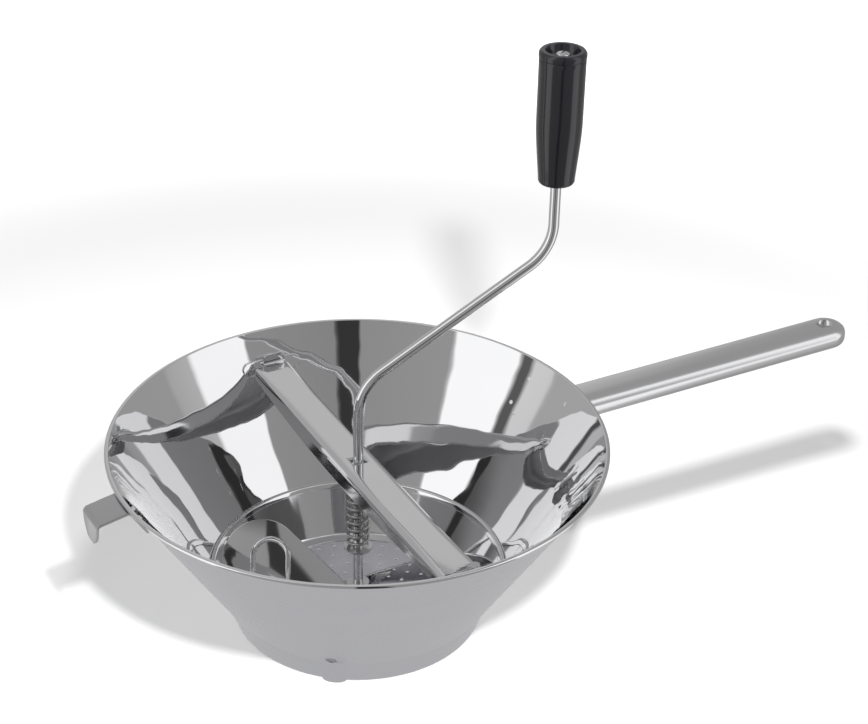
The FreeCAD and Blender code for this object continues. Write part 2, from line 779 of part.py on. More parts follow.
def add_bar_ends(body):
    """Each end of the web: a tab turned straight up, and a toe that rests against a pad on the wall."""
    right = S.bar_tab_right
    left = "(%s - %s)" % (right, S.bar_tab_width)
    root = "(%s - %s)" % (S.bar_flange_half, S.bar_end_lap)
    tip = "(%s - %s)" % (seat_face(BAR_UNDER), S.bar_end_gap)
    strip = add_web_strip(body, "strip", left, right, root, S.bar_tab_reach)
    toe = add_web_strip(body, "toe", "-" + right, "(%s - %s)" % (S.bar_toe_width, right), root, tip)
    side = new_sketch(body, "tab_side", "YZ_Plane")
    bind(side, AttachmentOffset__Base__z=left)
    high = "(%s + %s)" % (S.bar_top, S.bar_tab_rise)
    front = "(%s - %s)" % (S.bar_tab_reach, S.bar_sheet)
    outline(side, [
        (front, BAR_UNDER),
        (S.bar_tab_reach, BAR_UNDER),
        (S.bar_tab_reach, high),
        (front, high),
    ])
    tab = feature(body, "Pad", "tab", side, Length=S.bar_tab_width)
    doc.recompute()
    ends = body.newObject("PartDesign::Mirrored", "bar_ends")
    ends.Originals = [strip, toe, tab]
    ends.MirrorPlane = (origin(body, "XZ_Plane"), [""])
    body.Tip = ends
    doc.recompute()
    outer = round_edges(body, "tab_outer_bends", ends, "%s + %s" % (S.bar_tab_bend, S.bar_sheet), lambda e: (
        near(abs(middle_of(e).y), S.bar_tab_reach) and near(middle_of(e).z, BAR_UNDER)))
    bends = round_edges(body, "tab_inner_bends", outer, S.bar_tab_bend, lambda e: (
        near(abs(middle_of(e).y), front) and near(middle_of(e).z, S.bar_top)))
    middle = "(%s - %s / 2)" % (S.bar_tab_reach, S.bar_sheet)
    corners = round_edges(body, "tab_corners", bends, S.bar_tab_corner, lambda e: (
        near(abs(middle_of(e).y), middle) and near(middle_of(e).z, high)))
    body.Tip = corners
    doc.recompute()


def add_web_strip(body, name, left, right, root, tip):
    """A flat strip of the web at the end of the bar."""
    plan = new_sketch(body, name + "_plan", "XY_Plane")
    bind(plan, AttachmentOffset__Base__z=BAR_UNDER)
    outline(plan, [(left, root), (right, root), (right, tip), (left, tip)])
    strip = feature(body, "Pad", name, plan, Length=S.bar_sheet)
    doc.recompute()
    return strip


def make_bush():
    """The bush that guides the shaft and seats the spring."""
    return ring("bar_bush", S.bush_radius, "%s + %s" % (S.rod_radius, S.run_fit), SPRING_HEAD, S.bush_length)


# Crank
ARM_ANGLE = "(atan((%s - %s) / %s) / 1 deg)" % (S.arm_head, S.arm_foot, S.crank_radius)
BEND_RUN = "(%s * tan((90 - %s) / 2))" % (S.rod_bend, ARM_ANGLE)


def make_rod():
    """Round rod: shaft, bend, sloping arm, bend and upright end, drawn in the plane of the crank."""
    body = new_body("crank_rod")
    bind(body, Placement__Rotation__Angle=S.crank_angle)
    path = new_sketch(body, "rod_path", "XZ_Plane")
    run_x = "(%s * cos(%s))" % (BEND_RUN, ARM_ANGLE)
    run_z = "(%s * sin(%s))" % (BEND_RUN, ARM_ANGLE)
    places = [
        ("0", S.rod_foot),
        ("0", "%s - %s" % (S.arm_foot, BEND_RUN)),
        (run_x, "%s + %s" % (S.arm_foot, run_z)),
        ("%s - %s" % (S.crank_radius, run_x), "%s - %s" % (S.arm_head, run_z)),
        (S.crank_radius, "%s + %s" % (S.arm_head, BEND_RUN)),
        (S.crank_radius, ROD_HEAD),
    ]
    centres = [
        (S.rod_bend, "%s - %s" % (S.arm_foot, BEND_RUN)),
        ("%s - %s" % (S.crank_radius, S.rod_bend), "%s + %s" % (S.arm_head, BEND_RUN)),
    ]
    draw_bent_line(path, places, centres)
    section = new_sketch(body, "rod_section", "XY_Plane")
    bind(section, AttachmentOffset__Base__z=S.rod_foot)
    circle(section, ("0", "0"), S.rod_radius)
    doc.recompute()
    pipe = body.newObject("PartDesign::AdditivePipe", "rod_sweep")
    pipe.Profile = section
    pipe.Spine = (path, [])
    doc.recompute()
    cut_clip_groove(body)
    cut_rod_holes(body)
    return body


def draw_bent_line(sketch, places, centres):
    """Three straight runs joined by two arcs."""
    sketch.addGeometry(Part.LineSegment(point(places[0]), point(places[1])))
    first = Part.Circle(point(centres[0]), FreeCAD.Vector(0, 0, 1), number(S.rod_bend))
    lean = math.radians(number(ARM_ANGLE))
    sketch.addGeometry(Part.ArcOfCircle(first, math.pi / 2 + lean, math.pi))
    sketch.addGeometry(Part.LineSegment(point(places[2]), point(places[3])))
    second = Part.Circle(point(centres[1]), FreeCAD.Vector(0, 0, 1), number(S.rod_bend))
    sketch.addGeometry(Part.ArcOfCircle(second, -math.pi / 2 + lean, 0))
    sketch.addGeometry(Part.LineSegment(point(places[4]), point(places[5])))
    for edge, end, following, start in ((0, 2, 1, 2), (1, 1, 2, 1), (2, 2, 3, 1), (3, 2, 4, 1)):
        sketch.addConstraint(Sketcher.Constraint("Coincident", edge, end, following, start))
    for edge, end, place in ((0, 1, 0), (0, 2, 1), (2, 1, 2), (2, 2, 3), (4, 1, 4), (4, 2, 5)):
        pin(sketch, edge, end, places[place])
    hold_radius(sketch, 1, S.rod_bend)
    hold_radius(sketch, 3, S.rod_bend)


CLIP_FOOT = "(%s - %s - 2 * %s - %s)" % (S.spring_foot, S.washer_thick, S.seat_gap, S.clip_thick)


def cut_clip_groove(body):
    """The groove that the retaining clip snaps into."""
    sketch = new_sketch(body, "groove_section", "XZ_Plane")
    floor = "(%s - %s)" % (S.rod_radius, S.clip_groove)
    low = "(%s - %s)" % (CLIP_FOOT, S.fixed_fit)
    high = "(%s + %s + %s)" % (CLIP_FOOT, S.clip_thick, S.fixed_fit)
    edge = "(%s + %s)" % (S.rod_radius, S.overrun)
    outline(sketch, [(floor, low), (edge, low), (edge, high), (floor, high)])
    turned(body, "Groove", "clip_groove", sketch)
    doc.recompute()


def cut_rod_holes(body):
    """The hole for the hub pin and the bore for the grip screw."""
    cross = body.newObject("PartDesign::SubtractiveCylinder", "pin_hole")
    cross.Placement.Rotation = FreeCAD.Rotation(FreeCAD.Vector(1, 0, 0), 90)
    bind(cross, Radius="%s + %s" % (S.pin_radius, S.fixed_fit), Height=S.pin_length,
         Placement__Base__y=S.pin_length + " / 2", Placement__Base__z=HUB_MIDDLE)
    bore = body.newObject("PartDesign::SubtractiveCylinder", "screw_bore")
    bind(bore, Radius="%s + %s" % (S.screw_shank_radius, S.fixed_fit),
         Height="%s + %s" % (S.screw_length, S.overrun), Placement__Base__x=S.crank_radius,
         Placement__Base__z="%s - %s" % (ROD_HEAD, S.screw_length))


# Spring, washer and clip
def helix_point(turn, radius, foot, pitch):
    """A place on the coil, and the direction of the wire there."""
    angle = 2 * math.pi * turn
    place = FreeCAD.Vector(radius * math.cos(angle), radius * math.sin(angle), foot + pitch * turn)
    along = FreeCAD.Vector(-radius * math.sin(angle), radius * math.cos(angle), pitch / (2 * math.pi))
    return place, along.normalize()


def arc_between(start, corner, end):
    """The arc that leaves start towards corner and arrives at end, both corner legs being equal."""
    weight = ((start - corner).normalize() - (end - corner).normalize()).Length / 2
    middle = (start + corner * (2 * weight) + end) / (2 * (1 + weight))
    return Part.Arc(start, middle, end).toShape()


def biarc(start, start_along, end, end_along):
    """Two arcs that join two places along given directions."""
    chord = end - start
    both = start_along + end_along
    spread = 2 * (1 - start_along.dot(end_along))
    reach = (-chord.dot(both) + math.sqrt(chord.dot(both) ** 2 + spread * chord.dot(chord))) / spread
    first = start + start_along * reach
    second = end - end_along * reach
    joint = (first + second) / 2
    return [arc_between(start, first, joint), arc_between(joint, second, end)]


def wire_section(place, along, wire, sides):
    """The wire's section at the coil's foot, with flat sides that touch the wire's round."""
    outward = FreeCAD.Vector(place.x, place.y, 0).normalize()
    across = along.cross(outward)
    reach = wire / 2 / math.cos(math.pi / sides)
    corners = []
    for i in range(sides):
        angle = 2 * math.pi * (i + 0.5) / sides
        corners.append(place + (outward * math.cos(angle) + across * math.sin(angle)) * reach)
    return Part.makePolygon(corners + corners[:1])


def make_spring():
    """The coil spring: one wire swept along half-turn biarcs."""
    wire = number(S.spring_wire)
    radius = number(S.spring_radius)
    turns = number(S.spring_turns)
    foot = number(S.spring_foot) + number(S.seat_gap) + wire / 2
    head = number(SPRING_HEAD) - number(S.seat_gap) - wire / 2
    pitch = (head - foot) / turns
    stations = [helix_point(half / 2, radius, foot, pitch) for half in range(int(2 * turns) + 1)]
    edges = []
    for (start, start_along), (end, end_along) in zip(stations, stations[1:]):
        edges += biarc(start, start_along, end, end_along)
    section = wire_section(*stations[0], wire, int(number(S.spring_sides)))
    spring = doc.addObject("Part::Feature", "spring")
    spring.Shape = Part.Wire(edges).makePipeShell([section], True, False)
    spring.Label = "spring"
    print_least_gap(edges, wire, turns)
    return spring


def print_least_gap(edges, wire, turns):
    """Measure the least gap between neighbouring turns on points along the wire's middle."""
    points = [p for edge in edges for p in edge.discretize(9)[:-1]]
    turn = int(len(points) / turns)
    apart = turn * 3 // 4
    least = min((a - b).Length for i, a in enumerate(points) for b in points[i + apart:i + 2 * turn])
    print("spring: least gap between turns %.2f mm" % (least - wire))


def make_washer():
    """The washer under the spring."""
    return ring("spring_washer", S.washer_radius, "%s + %s" % (S.rod_radius, S.run_fit),
                "%s - %s" % (S.spring_foot, S.washer_thick), S.washer_thick)


def make_clip():
    """The open clip in the shaft's groove."""
    return ring("retaining_clip", S.clip_radius, "%s - %s + %s" % (S.rod_radius, S.clip_groove, S.fixed_fit),
                CLIP_FOOT, S.clip_thick, S.clip_opening)


# Blade
def wing_plane(sketch):
    """Lay a sketch in the plane of the first wing: X outwards, Y up the slope from the scraping edge."""
    about_x = FreeCAD.Rotation(FreeCAD.Vector(1, 0, 0), 90)
    sketch.AttachmentOffset = FreeCAD.Placement(FreeCAD.Vector(), about_x)
    bind(sketch, AttachmentOffset__Base__y=S.wing_offset, AttachmentOffset__Base__z=S.blade_foot,
         AttachmentOffset__Rotation__Angle="180 - " + S.wing_tilt)


def make_blade():
    """Two raised wings on a flat disc, each wing stiffened by a pressed bead."""
    body = new_body("blade")
    bind(body, Placement__Rotation__Angle=S.blade_angle)
    plan = new_sketch(body, "disc_plan", "XY_Plane")
    bind(plan, AttachmentOffset__Base__z="%s - %s / 2" % (S.blade_foot, S.blade_sheet))
    circle(plan, ("0", "0"), S.blade_disc_radius)
    circle(plan, ("0", "0"), "%s + %s" % (S.rod_radius, S.fixed_fit))
    feature(body, "Pad", "blade_disc", plan, Length=S.blade_sheet)
    wing_sketch = new_sketch(body, "wing_outline", "XY_Plane")
    wing_plane(wing_sketch)
    draw_wing(wing_sketch)
    wing = feature(body, "Pad", "wing", wing_sketch, Length=S.blade_sheet)
    wing.Midplane = True
    doc.recompute()
    bead = make_bead(body)
    repeat(body, "wings", [wing, bead], 2)
    return body


def draw_wing(sketch):
    """The wing: straight scraping edge, outer edge, round lobe and a straight edge down to the neck."""
    centre = (S.wing_lobe_out, S.wing_lobe_up)
    middle, radius = point(centre), number(S.wing_lobe_radius)
    neck = (S.wing_neck_out, S.wing_neck_up)
    foot = (S.wing_reach, "0")
    heel = ("-" + S.wing_heel, "0")
    start = tangent_angle(point(foot), middle, radius, -1)
    end = tangent_angle(point(neck), middle, radius, 1)
    lobe = Part.ArcOfCircle(Part.Circle(middle, FreeCAD.Vector(0, 0, 1), radius), start, end)
    sketch.addGeometry(Part.LineSegment(point(foot), lobe.StartPoint))
    sketch.addGeometry(lobe)
    sketch.addGeometry(Part.LineSegment(lobe.EndPoint, point(neck)))
    sketch.addGeometry(Part.LineSegment(point(neck), point(heel)))
    sketch.addGeometry(Part.LineSegment(point(heel), point(foot)))
    sketch.addConstraint(Sketcher.Constraint("Tangent", 0, 2, 1, 1))
    sketch.addConstraint(Sketcher.Constraint("Tangent", 1, 2, 2, 1))
    for edge in (2, 3, 4):
        sketch.addConstraint(Sketcher.Constraint("Coincident", edge, 2, (edge + 1) % 5, 1))
    pin(sketch, 0, 1, foot)
    pin(sketch, 1, 3, centre)
    hold_radius(sketch, 1, S.wing_lobe_radius)
    pin(sketch, 3, 1, neck)
    pin(sketch, 4, 1, heel)


def tangent_angle(outside, middle, radius, side):
    """Direction from a circle's middle to where a line from an outside point touches it."""
    back = outside - middle
    return math.atan2(back.y, back.x) - side * math.acos(radius / back.Length)


def make_bead(body):
    """The arched bead pressed into the wing."""
    left, right = "(%s - %s)" % (S.bead_out, S.bead_half), "(%s + %s)" % (S.bead_out, S.bead_half)
    path = new_sketch(body, "bead_path", "XY_Plane")
    wing_plane(path)
    legs = [(left, S.bead_foot), (left, S.bead_up), (right, S.bead_up), (right, S.bead_foot)]
    centre = (S.bead_out, S.bead_up)
    path.addGeometry(Part.LineSegment(point(legs[0]), point(legs[1])))
    arch = Part.Circle(point(centre), FreeCAD.Vector(0, 0, 1), number(S.bead_half))
    path.addGeometry(Part.ArcOfCircle(arch, 0, math.pi))
    path.addGeometry(Part.LineSegment(point(legs[2]), point(legs[3])))
    path.addConstraint(Sketcher.Constraint("Coincident", 0, 2, 1, 2))
    path.addConstraint(Sketcher.Constraint("Coincident", 1, 1, 2, 1))
    pin(path, 0, 1, legs[0])
    pin(path, 0, 2, legs[1])
    pin(path, 2, 1, legs[2])
    pin(path, 2, 2, legs[3])
    pin(path, 1, 3, centre, ("DistanceY",))
    section = new_sketch(body, "bead_section", "XY_Plane")
    lean = FreeCAD.Rotation(FreeCAD.Vector(1, 0, 0), 90)
    section.AttachmentOffset = FreeCAD.Placement(FreeCAD.Vector(), lean)
    bind(section, AttachmentOffset__Base__x=left,
         AttachmentOffset__Base__y="%s - %s * cos(%s)" % (S.wing_offset, S.bead_foot, S.wing_tilt),
         AttachmentOffset__Base__z="%s + %s * sin(%s)" % (S.blade_foot, S.bead_foot, S.wing_tilt),
         AttachmentOffset__Rotation__Angle="90 - " + S.wing_tilt)
    outline(section, [
        ("%s * cos(%d)" % (S.bead_radius, 60 * i), "%s * sin(%d)" % (S.bead_radius, 60 * i))
        for i in range(6)
    ])
    doc.recompute()
    bead = body.newObject("PartDesign::AdditivePipe", "bead")
    bead.Profile = section
    bead.Spine = (path, [])
    doc.recompute()
    return bead


def make_hub():
    """The sleeve that carries the blade on the shaft, with its cross hole."""
    sleeve = ring("hub_sleeve", S.hub_radius, "%s + %s" % (S.rod_radius, S.fixed_fit),
                  HUB_FOOT, S.hub_length)
    bore = doc.addObject("Part::Cylinder", "hub_cross_bore")
    lay_across(bore, "%s + %s" % (S.pin_radius, S.fixed_fit), "%s + 2 * %s" % (S.pin_length, S.overrun))
    hub = doc.addObject("Part::Cut", "blade_hub")
    hub.Base = sleeve
    hub.Tool = bore
    hub.Label = "blade_hub"
    return hub


def lay_across(cylinder, radius, length):
    """Lay a cylinder across the shaft, square to the crank, at the middle of the hub."""
    cylinder.Placement.Rotation = (FreeCAD.Rotation(FreeCAD.Vector(0, 0, 1), number(S.crank_angle))
                                   * FreeCAD.Rotation(FreeCAD.Vector(1, 0, 0), 90))
    bind(cylinder, Radius=radius, Height=length,
         Placement__Base__x="-%s / 2 * sin(%s)" % ("(%s)" % length, S.crank_angle),
         Placement__Base__y="%s / 2 * cos(%s)" % ("(%s)" % length, S.crank_angle),
         Placement__Base__z=HUB_MIDDLE)


def make_hub_pin():
    """The pin through the hub and the shaft."""
    cylinder = doc.addObject("Part::Cylinder", "hub_pin")
    cylinder.Label = "hub_pin"
    lay_across(cylinder, S.pin_radius, S.pin_length)
    return cylinder


# Grip and what holds it
def at_grip(thing, height):
    """Put a piece on the grip's axis."""
    bind(thing, Placement__Base__x=GRIP_X, Placement__Base__y=GRIP_Y, Placement__Base__z=height)


def make_grip():
    """The turned plastic grip: tapered foot, straight upper body, groove and rounded top ring."""
    body = new_body("grip")
    at_grip(body, S.grip_foot)
    bore = "(%s + %s)" % (S.rod_radius, S.run_fit)
    counter = "(%s + %s)" % (S.collar_radius, S.collar_gap)
    counter_deep = "(%s + 2 * %s)" % (S.collar_length, S.collar_gap)
    ring_foot = "(%s - %s)" % (S.grip_length, S.grip_ring_tall)
    section = new_sketch(body, "grip_section", "XZ_Plane")
    outline(section, [
        (counter, "0"),
        ("%s - %s" % (S.grip_foot_radius, S.grip_chamfer), "0"),
        (S.grip_foot_radius, S.grip_chamfer),
        (S.grip_body_radius, S.grip_taper_head),
        (S.grip_body_radius, ring_foot),
        (S.grip_ring_radius, ring_foot),
        (S.grip_ring_radius, "%s - %s" % (S.grip_length, S.grip_chamfer)),
        ("%s - %s" % (S.grip_ring_radius, S.grip_chamfer), S.grip_length),
        (S.grip_recess_radius, S.grip_length),
        (S.grip_recess_radius, RECESS_FLOOR),
        (bore, RECESS_FLOOR),
        (bore, counter_deep),
        (counter, counter_deep),
    ])
    turned(body, "Revolution", "grip_form", section)
    return body


def make_grip_collar():
    """The ring fixed on the rod that the grip's foot runs on."""
    made = ring("grip_collar", S.collar_radius, "%s + %s" % (S.rod_radius, S.fixed_fit),
                "0", S.collar_length)
    at_grip(made, "%s + %s" % (S.grip_foot, S.collar_gap))
    return made


def make_grip_washer():
    """The washer under the screw head."""
    made = ring("grip_washer", S.grip_washer_radius, "%s + %s" % (S.screw_shank_radius, S.fixed_fit),
                "0", S.grip_washer_thick)
    at_grip(made, "%s + %s + %s" % (S.grip_foot, RECESS_FLOOR, S.collar_gap))
    return made


def make_screw():
    """The slotted screw in the rod's end."""
    body = new_body("grip_screw")
    head_foot = "(%s + 2 * %s)" % (S.grip_washer_thick, S.collar_gap)
    at_grip(body, "%s + %s + %s" % (S.grip_foot, RECESS_FLOOR, head_foot))
    bind(body, Placement__Rotation__Angle=S.crank_angle)
    head = S.screw_head_tall
    section = new_sketch(body, "screw_section", "XZ_Plane")
    shank_end = "-(%s + %s - %s)" % (head_foot, S.screw_length, S.overrun)
    outline(section, [
        ("0", shank_end),
        (S.screw_shank_radius, shank_end),
        (S.screw_shank_radius, "0"),
        (S.screw_head_radius, "0"),
        (S.screw_head_radius, S.screw_head_side),
        (S.screw_crown_radius, head),
        ("0", head),
    ])
    turned(body, "Revolution", "screw_form", section)
    doc.recompute()
    slot = new_sketch(body, "slot_side", "XZ_Plane")
    half = "(%s / 2)" % S.screw_slot
    floor = "(%s / 2)" % head
    above = "(%s + %s)" % (head, S.overrun)
    outline(slot, [("-" + half, floor), (half, floor), (half, above), ("-" + half, above)])
    cut = feature(body, "Pocket", "screw_slot_cut", slot, Length="4 * " + S.screw_head_radius)
    cut.Midplane = True
    return body


def check_and_write(pieces):
    """Stop on any failed object or bad shape, then write one file for each piece."""
    doc.recompute()
    failed = [thing.Label for thing in doc.Objects if {"Invalid", "Error"} & set(thing.State)]
    if failed:
        raise RuntimeError("failed: " + ", ".join(failed))
    for piece in pieces:
        if piece.Shape.isNull() or not piece.Shape.isValid():
            raise RuntimeError("%s has no valid shape" % piece.Label)
    os.makedirs("parts", exist_ok=True)
    for piece in pieces:
        piece.Shape.exportStep("parts/%s.step" % piece.Label)
        print("%s: %d solid, %.0f mm3" % (piece.Label, len(piece.Shape.Solids), piece.Shape.Volume))


check_and_write([
    make_bowl(),
    make_sieve(),
    make_handle(),
    make_bracket(),
    make_hook(),
    make_seat("bar_seat_back", "0"),
    make_seat("bar_seat_front", "180"),
    make_crossbar(),
    make_bush(),
    make_rod(),
    make_spring(),
    make_washer(),
    make_clip(),
    make_blade(),
    make_hub(),
    make_hub_pin(),
    make_grip(),
    make_grip_collar(),
    make_grip_washer(),
    make_screw(),
])
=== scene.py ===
"""Looks of a hand-cranked food mill: polished bowl, crossbar, crank, blade, grip and side handle."""

import logging
import math
from dataclasses import dataclass
from enum import Enum
from typing import Callable, Sequence

import bmesh
import bpy
from mathutils import Matrix, Vector


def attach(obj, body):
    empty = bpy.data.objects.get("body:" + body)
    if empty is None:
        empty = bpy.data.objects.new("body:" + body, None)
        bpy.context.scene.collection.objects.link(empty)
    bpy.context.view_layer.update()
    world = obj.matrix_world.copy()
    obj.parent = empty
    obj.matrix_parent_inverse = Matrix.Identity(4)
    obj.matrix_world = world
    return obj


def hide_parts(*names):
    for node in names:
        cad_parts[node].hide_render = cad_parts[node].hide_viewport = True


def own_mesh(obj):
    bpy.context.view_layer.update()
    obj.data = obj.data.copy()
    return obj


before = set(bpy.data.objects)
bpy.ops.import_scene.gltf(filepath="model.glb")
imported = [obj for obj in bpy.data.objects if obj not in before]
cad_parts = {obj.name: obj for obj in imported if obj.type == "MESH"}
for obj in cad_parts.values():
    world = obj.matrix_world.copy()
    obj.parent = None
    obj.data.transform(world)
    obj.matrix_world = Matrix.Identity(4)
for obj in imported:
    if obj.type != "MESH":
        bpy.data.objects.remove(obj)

LOG = logging.getLogger("food_mill")
MM = 0.001
Z_AXIS = Vector((0, 0, 1))
ORIGIN = (0.0, 0.0)
TINY = 1e-6
LONGEST_LEG = 0.49
HELD_AT = (0.06, 0.94)
LAST_STRETCH = 0.3
BEVEL_FROM = 60.0
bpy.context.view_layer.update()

Point = tuple[float, float]
Triple = tuple[float, float, float]
Ring = list[Vector]
Socket = bpy.types.NodeSocket
Inputs = dict[str | int, object]


class Body(Enum):
    """The rigid bodies that pieces ride on."""

    BOWL = "bowl"
    SEAT = "spring_seat"
    CRANK = "crank"
    GRIP = "grip"


class Slot(Enum):
    """The record's material slots."""

    SATIN = "satin_steel"
    POLISHED = "polished_steel"
    PLASTIC = "black_plastic"


class Grain(Enum):
    """The direction in which a metal's brush lines run, as stretches of the pattern's X, Y and Z."""

    ROUND = (1.2, 36.0, 1.0)
    ALONG_X = (6.0, 900.0, 900.0)
    ALONG_Y = (900.0, 6.0, 900.0)
    NONE = (60.0, 60.0, 60.0)


# Flat outlines
def arc(centre: Point, radius: float, start: float, end: float, steps: int) -> list[Point]:
    """Points along an arc from one angle to another, in degrees, ends included."""
    angles = [math.radians(start + (end - start) * i / steps) for i in range(steps + 1)]
    return [(centre[0] + radius * math.cos(a), centre[1] + radius * math.sin(a)) for a in angles]


def circle(centre: Point, radius: float, points: int) -> list[Point]:
    """Points evenly round a circle."""
    return arc(centre, radius, 0, 360 - 360 / points, points - 1)


def rounded(corners: Sequence[Triple], steps: int = 6) -> list[Point]:
    """Round the corners of a closed outline.

    Args:
        corners: Each corner's two coordinates and its rounding radius.
        steps: Stretches in each rounding.

    Returns:
        The rounded outline.
    """
    points: list[Point] = []
    count = len(corners)
    for i, (x, y, radius) in enumerate(corners):
        here = Vector((x, y))
        back = Vector(corners[i - 1][:2]) - here
        ahead = Vector(corners[(i + 1) % count][:2]) - here
        if radius <= 0:
            points.append((x, y))
            continue
        half = back.angle(ahead) / 2
        leg = min(radius / math.tan(half), LONGEST_LEG * back.length, LONGEST_LEG * ahead.length)
        start, end = here + back.normalized() * leg, here + ahead.normalized() * leg
        for k in range(steps + 1):
            w = k / steps
            point = start * (1 - w) ** 2 + here * 2 * w * (1 - w) + end * w**2
            points.append((point.x, point.y))
    return points


def flat_bar(half: float, thick: float, edge: float, steps: int) -> list[Point]:
    """The closed section of a flat strip, from half its width, with its edges rounded in some steps."""
    t = thick / 2
    return rounded([(-half, -t, edge), (half, -t, edge), (half, t, edge), (-half, t, edge)], steps)


def held(corners: Sequence[Triple], steps: int) -> list[Point]:
    """Round a closed outline and hold its straight stretches with a point near both ends, so they shade flat.

    Args:
        corners: Each corner's two coordinates and its rounding radius.
        steps: Stretches in each rounding.

    Returns:
        The rounded outline, with two points after each corner.
    """
    curve = rounded(corners, steps)
    points: list[Point] = []
    for i, (x, y) in enumerate(curve):
        points.append((x, y))
        if i % (steps + 1) == steps:
            far_x, far_y = curve[(i + 1) % len(curve)]
            points += [(x + (far_x - x) * w, y + (far_y - y) * w) for w in HELD_AT]
    return points


def divided(outline: Sequence[Point], step: Callable[[float], float]) -> list[Point]:
    """Divide the long stretches of a closed outline.

    Args:
        outline: The outline.
        step: Gives the longest stretch allowed at a height.

    Returns:
        The outline with added points.
    """
    points: list[Point] = []
    for (ax, ay), (bx, by) in zip(outline, [*outline[1:], outline[0]]):
        length = math.hypot(bx - ax, by - ay)
        done = 0.0
        points.append((ax, ay))
        while True:
            done += step(ay + (by - ay) * done / max(length, TINY))
            if done > length - LAST_STRETCH * step(by):
                break
            points.append((ax + (bx - ax) * done / length, ay + (by - ay) * done / length))
    return points


def smooth_step(low: float, high: float, value: float) -> float:
    """Rise smoothly from 0 at low to 1 at high."""
    t = min(max((value - low) / (high - low), 0.0), 1.0)
    return t * t * (3 - 2 * t)


def curve_through(points: Sequence[Point], steps: int) -> list[Point]:
    """A smooth line through points.

    Args:
        points: The points, in order.
        steps: Stretches between two of them.

    Returns:
        The points of the smooth line.
    """
    padded = [points[0], *points, points[-1]]
    line: list[Point] = []
    for i in range(len(points) - 1):
        a, b, c, d = (Vector(padded[i + k]) for k in range(4))
        for k in range(steps):
            t = k / steps
            p = 0.5 * (2 * b + (c - a) * t + (2 * a - 5 * b + 4 * c - d) * t**2 + (3 * b - a - 3 * c + d) * t**3)
            line.append((p.x, p.y))
    line.append(tuple(points[-1]))
    return line


# Places
def polar(angle: float, radius: float, z: float = 0.0) -> Vector:
    """The point in a direction, in radians, at a radius and a height."""
    return Vector((radius * math.cos(angle), radius * math.sin(angle), z))


def turned(degrees: float, axis: str = "Z") -> Matrix:
    """A turn about an axis."""
    return Matrix.Rotation(math.radians(degrees), 4, axis)


def length_of(path: Sequence[Vector]) -> float:
    """The length of a line."""
    return sum((b - a).length for a, b in zip(path, path[1:]))


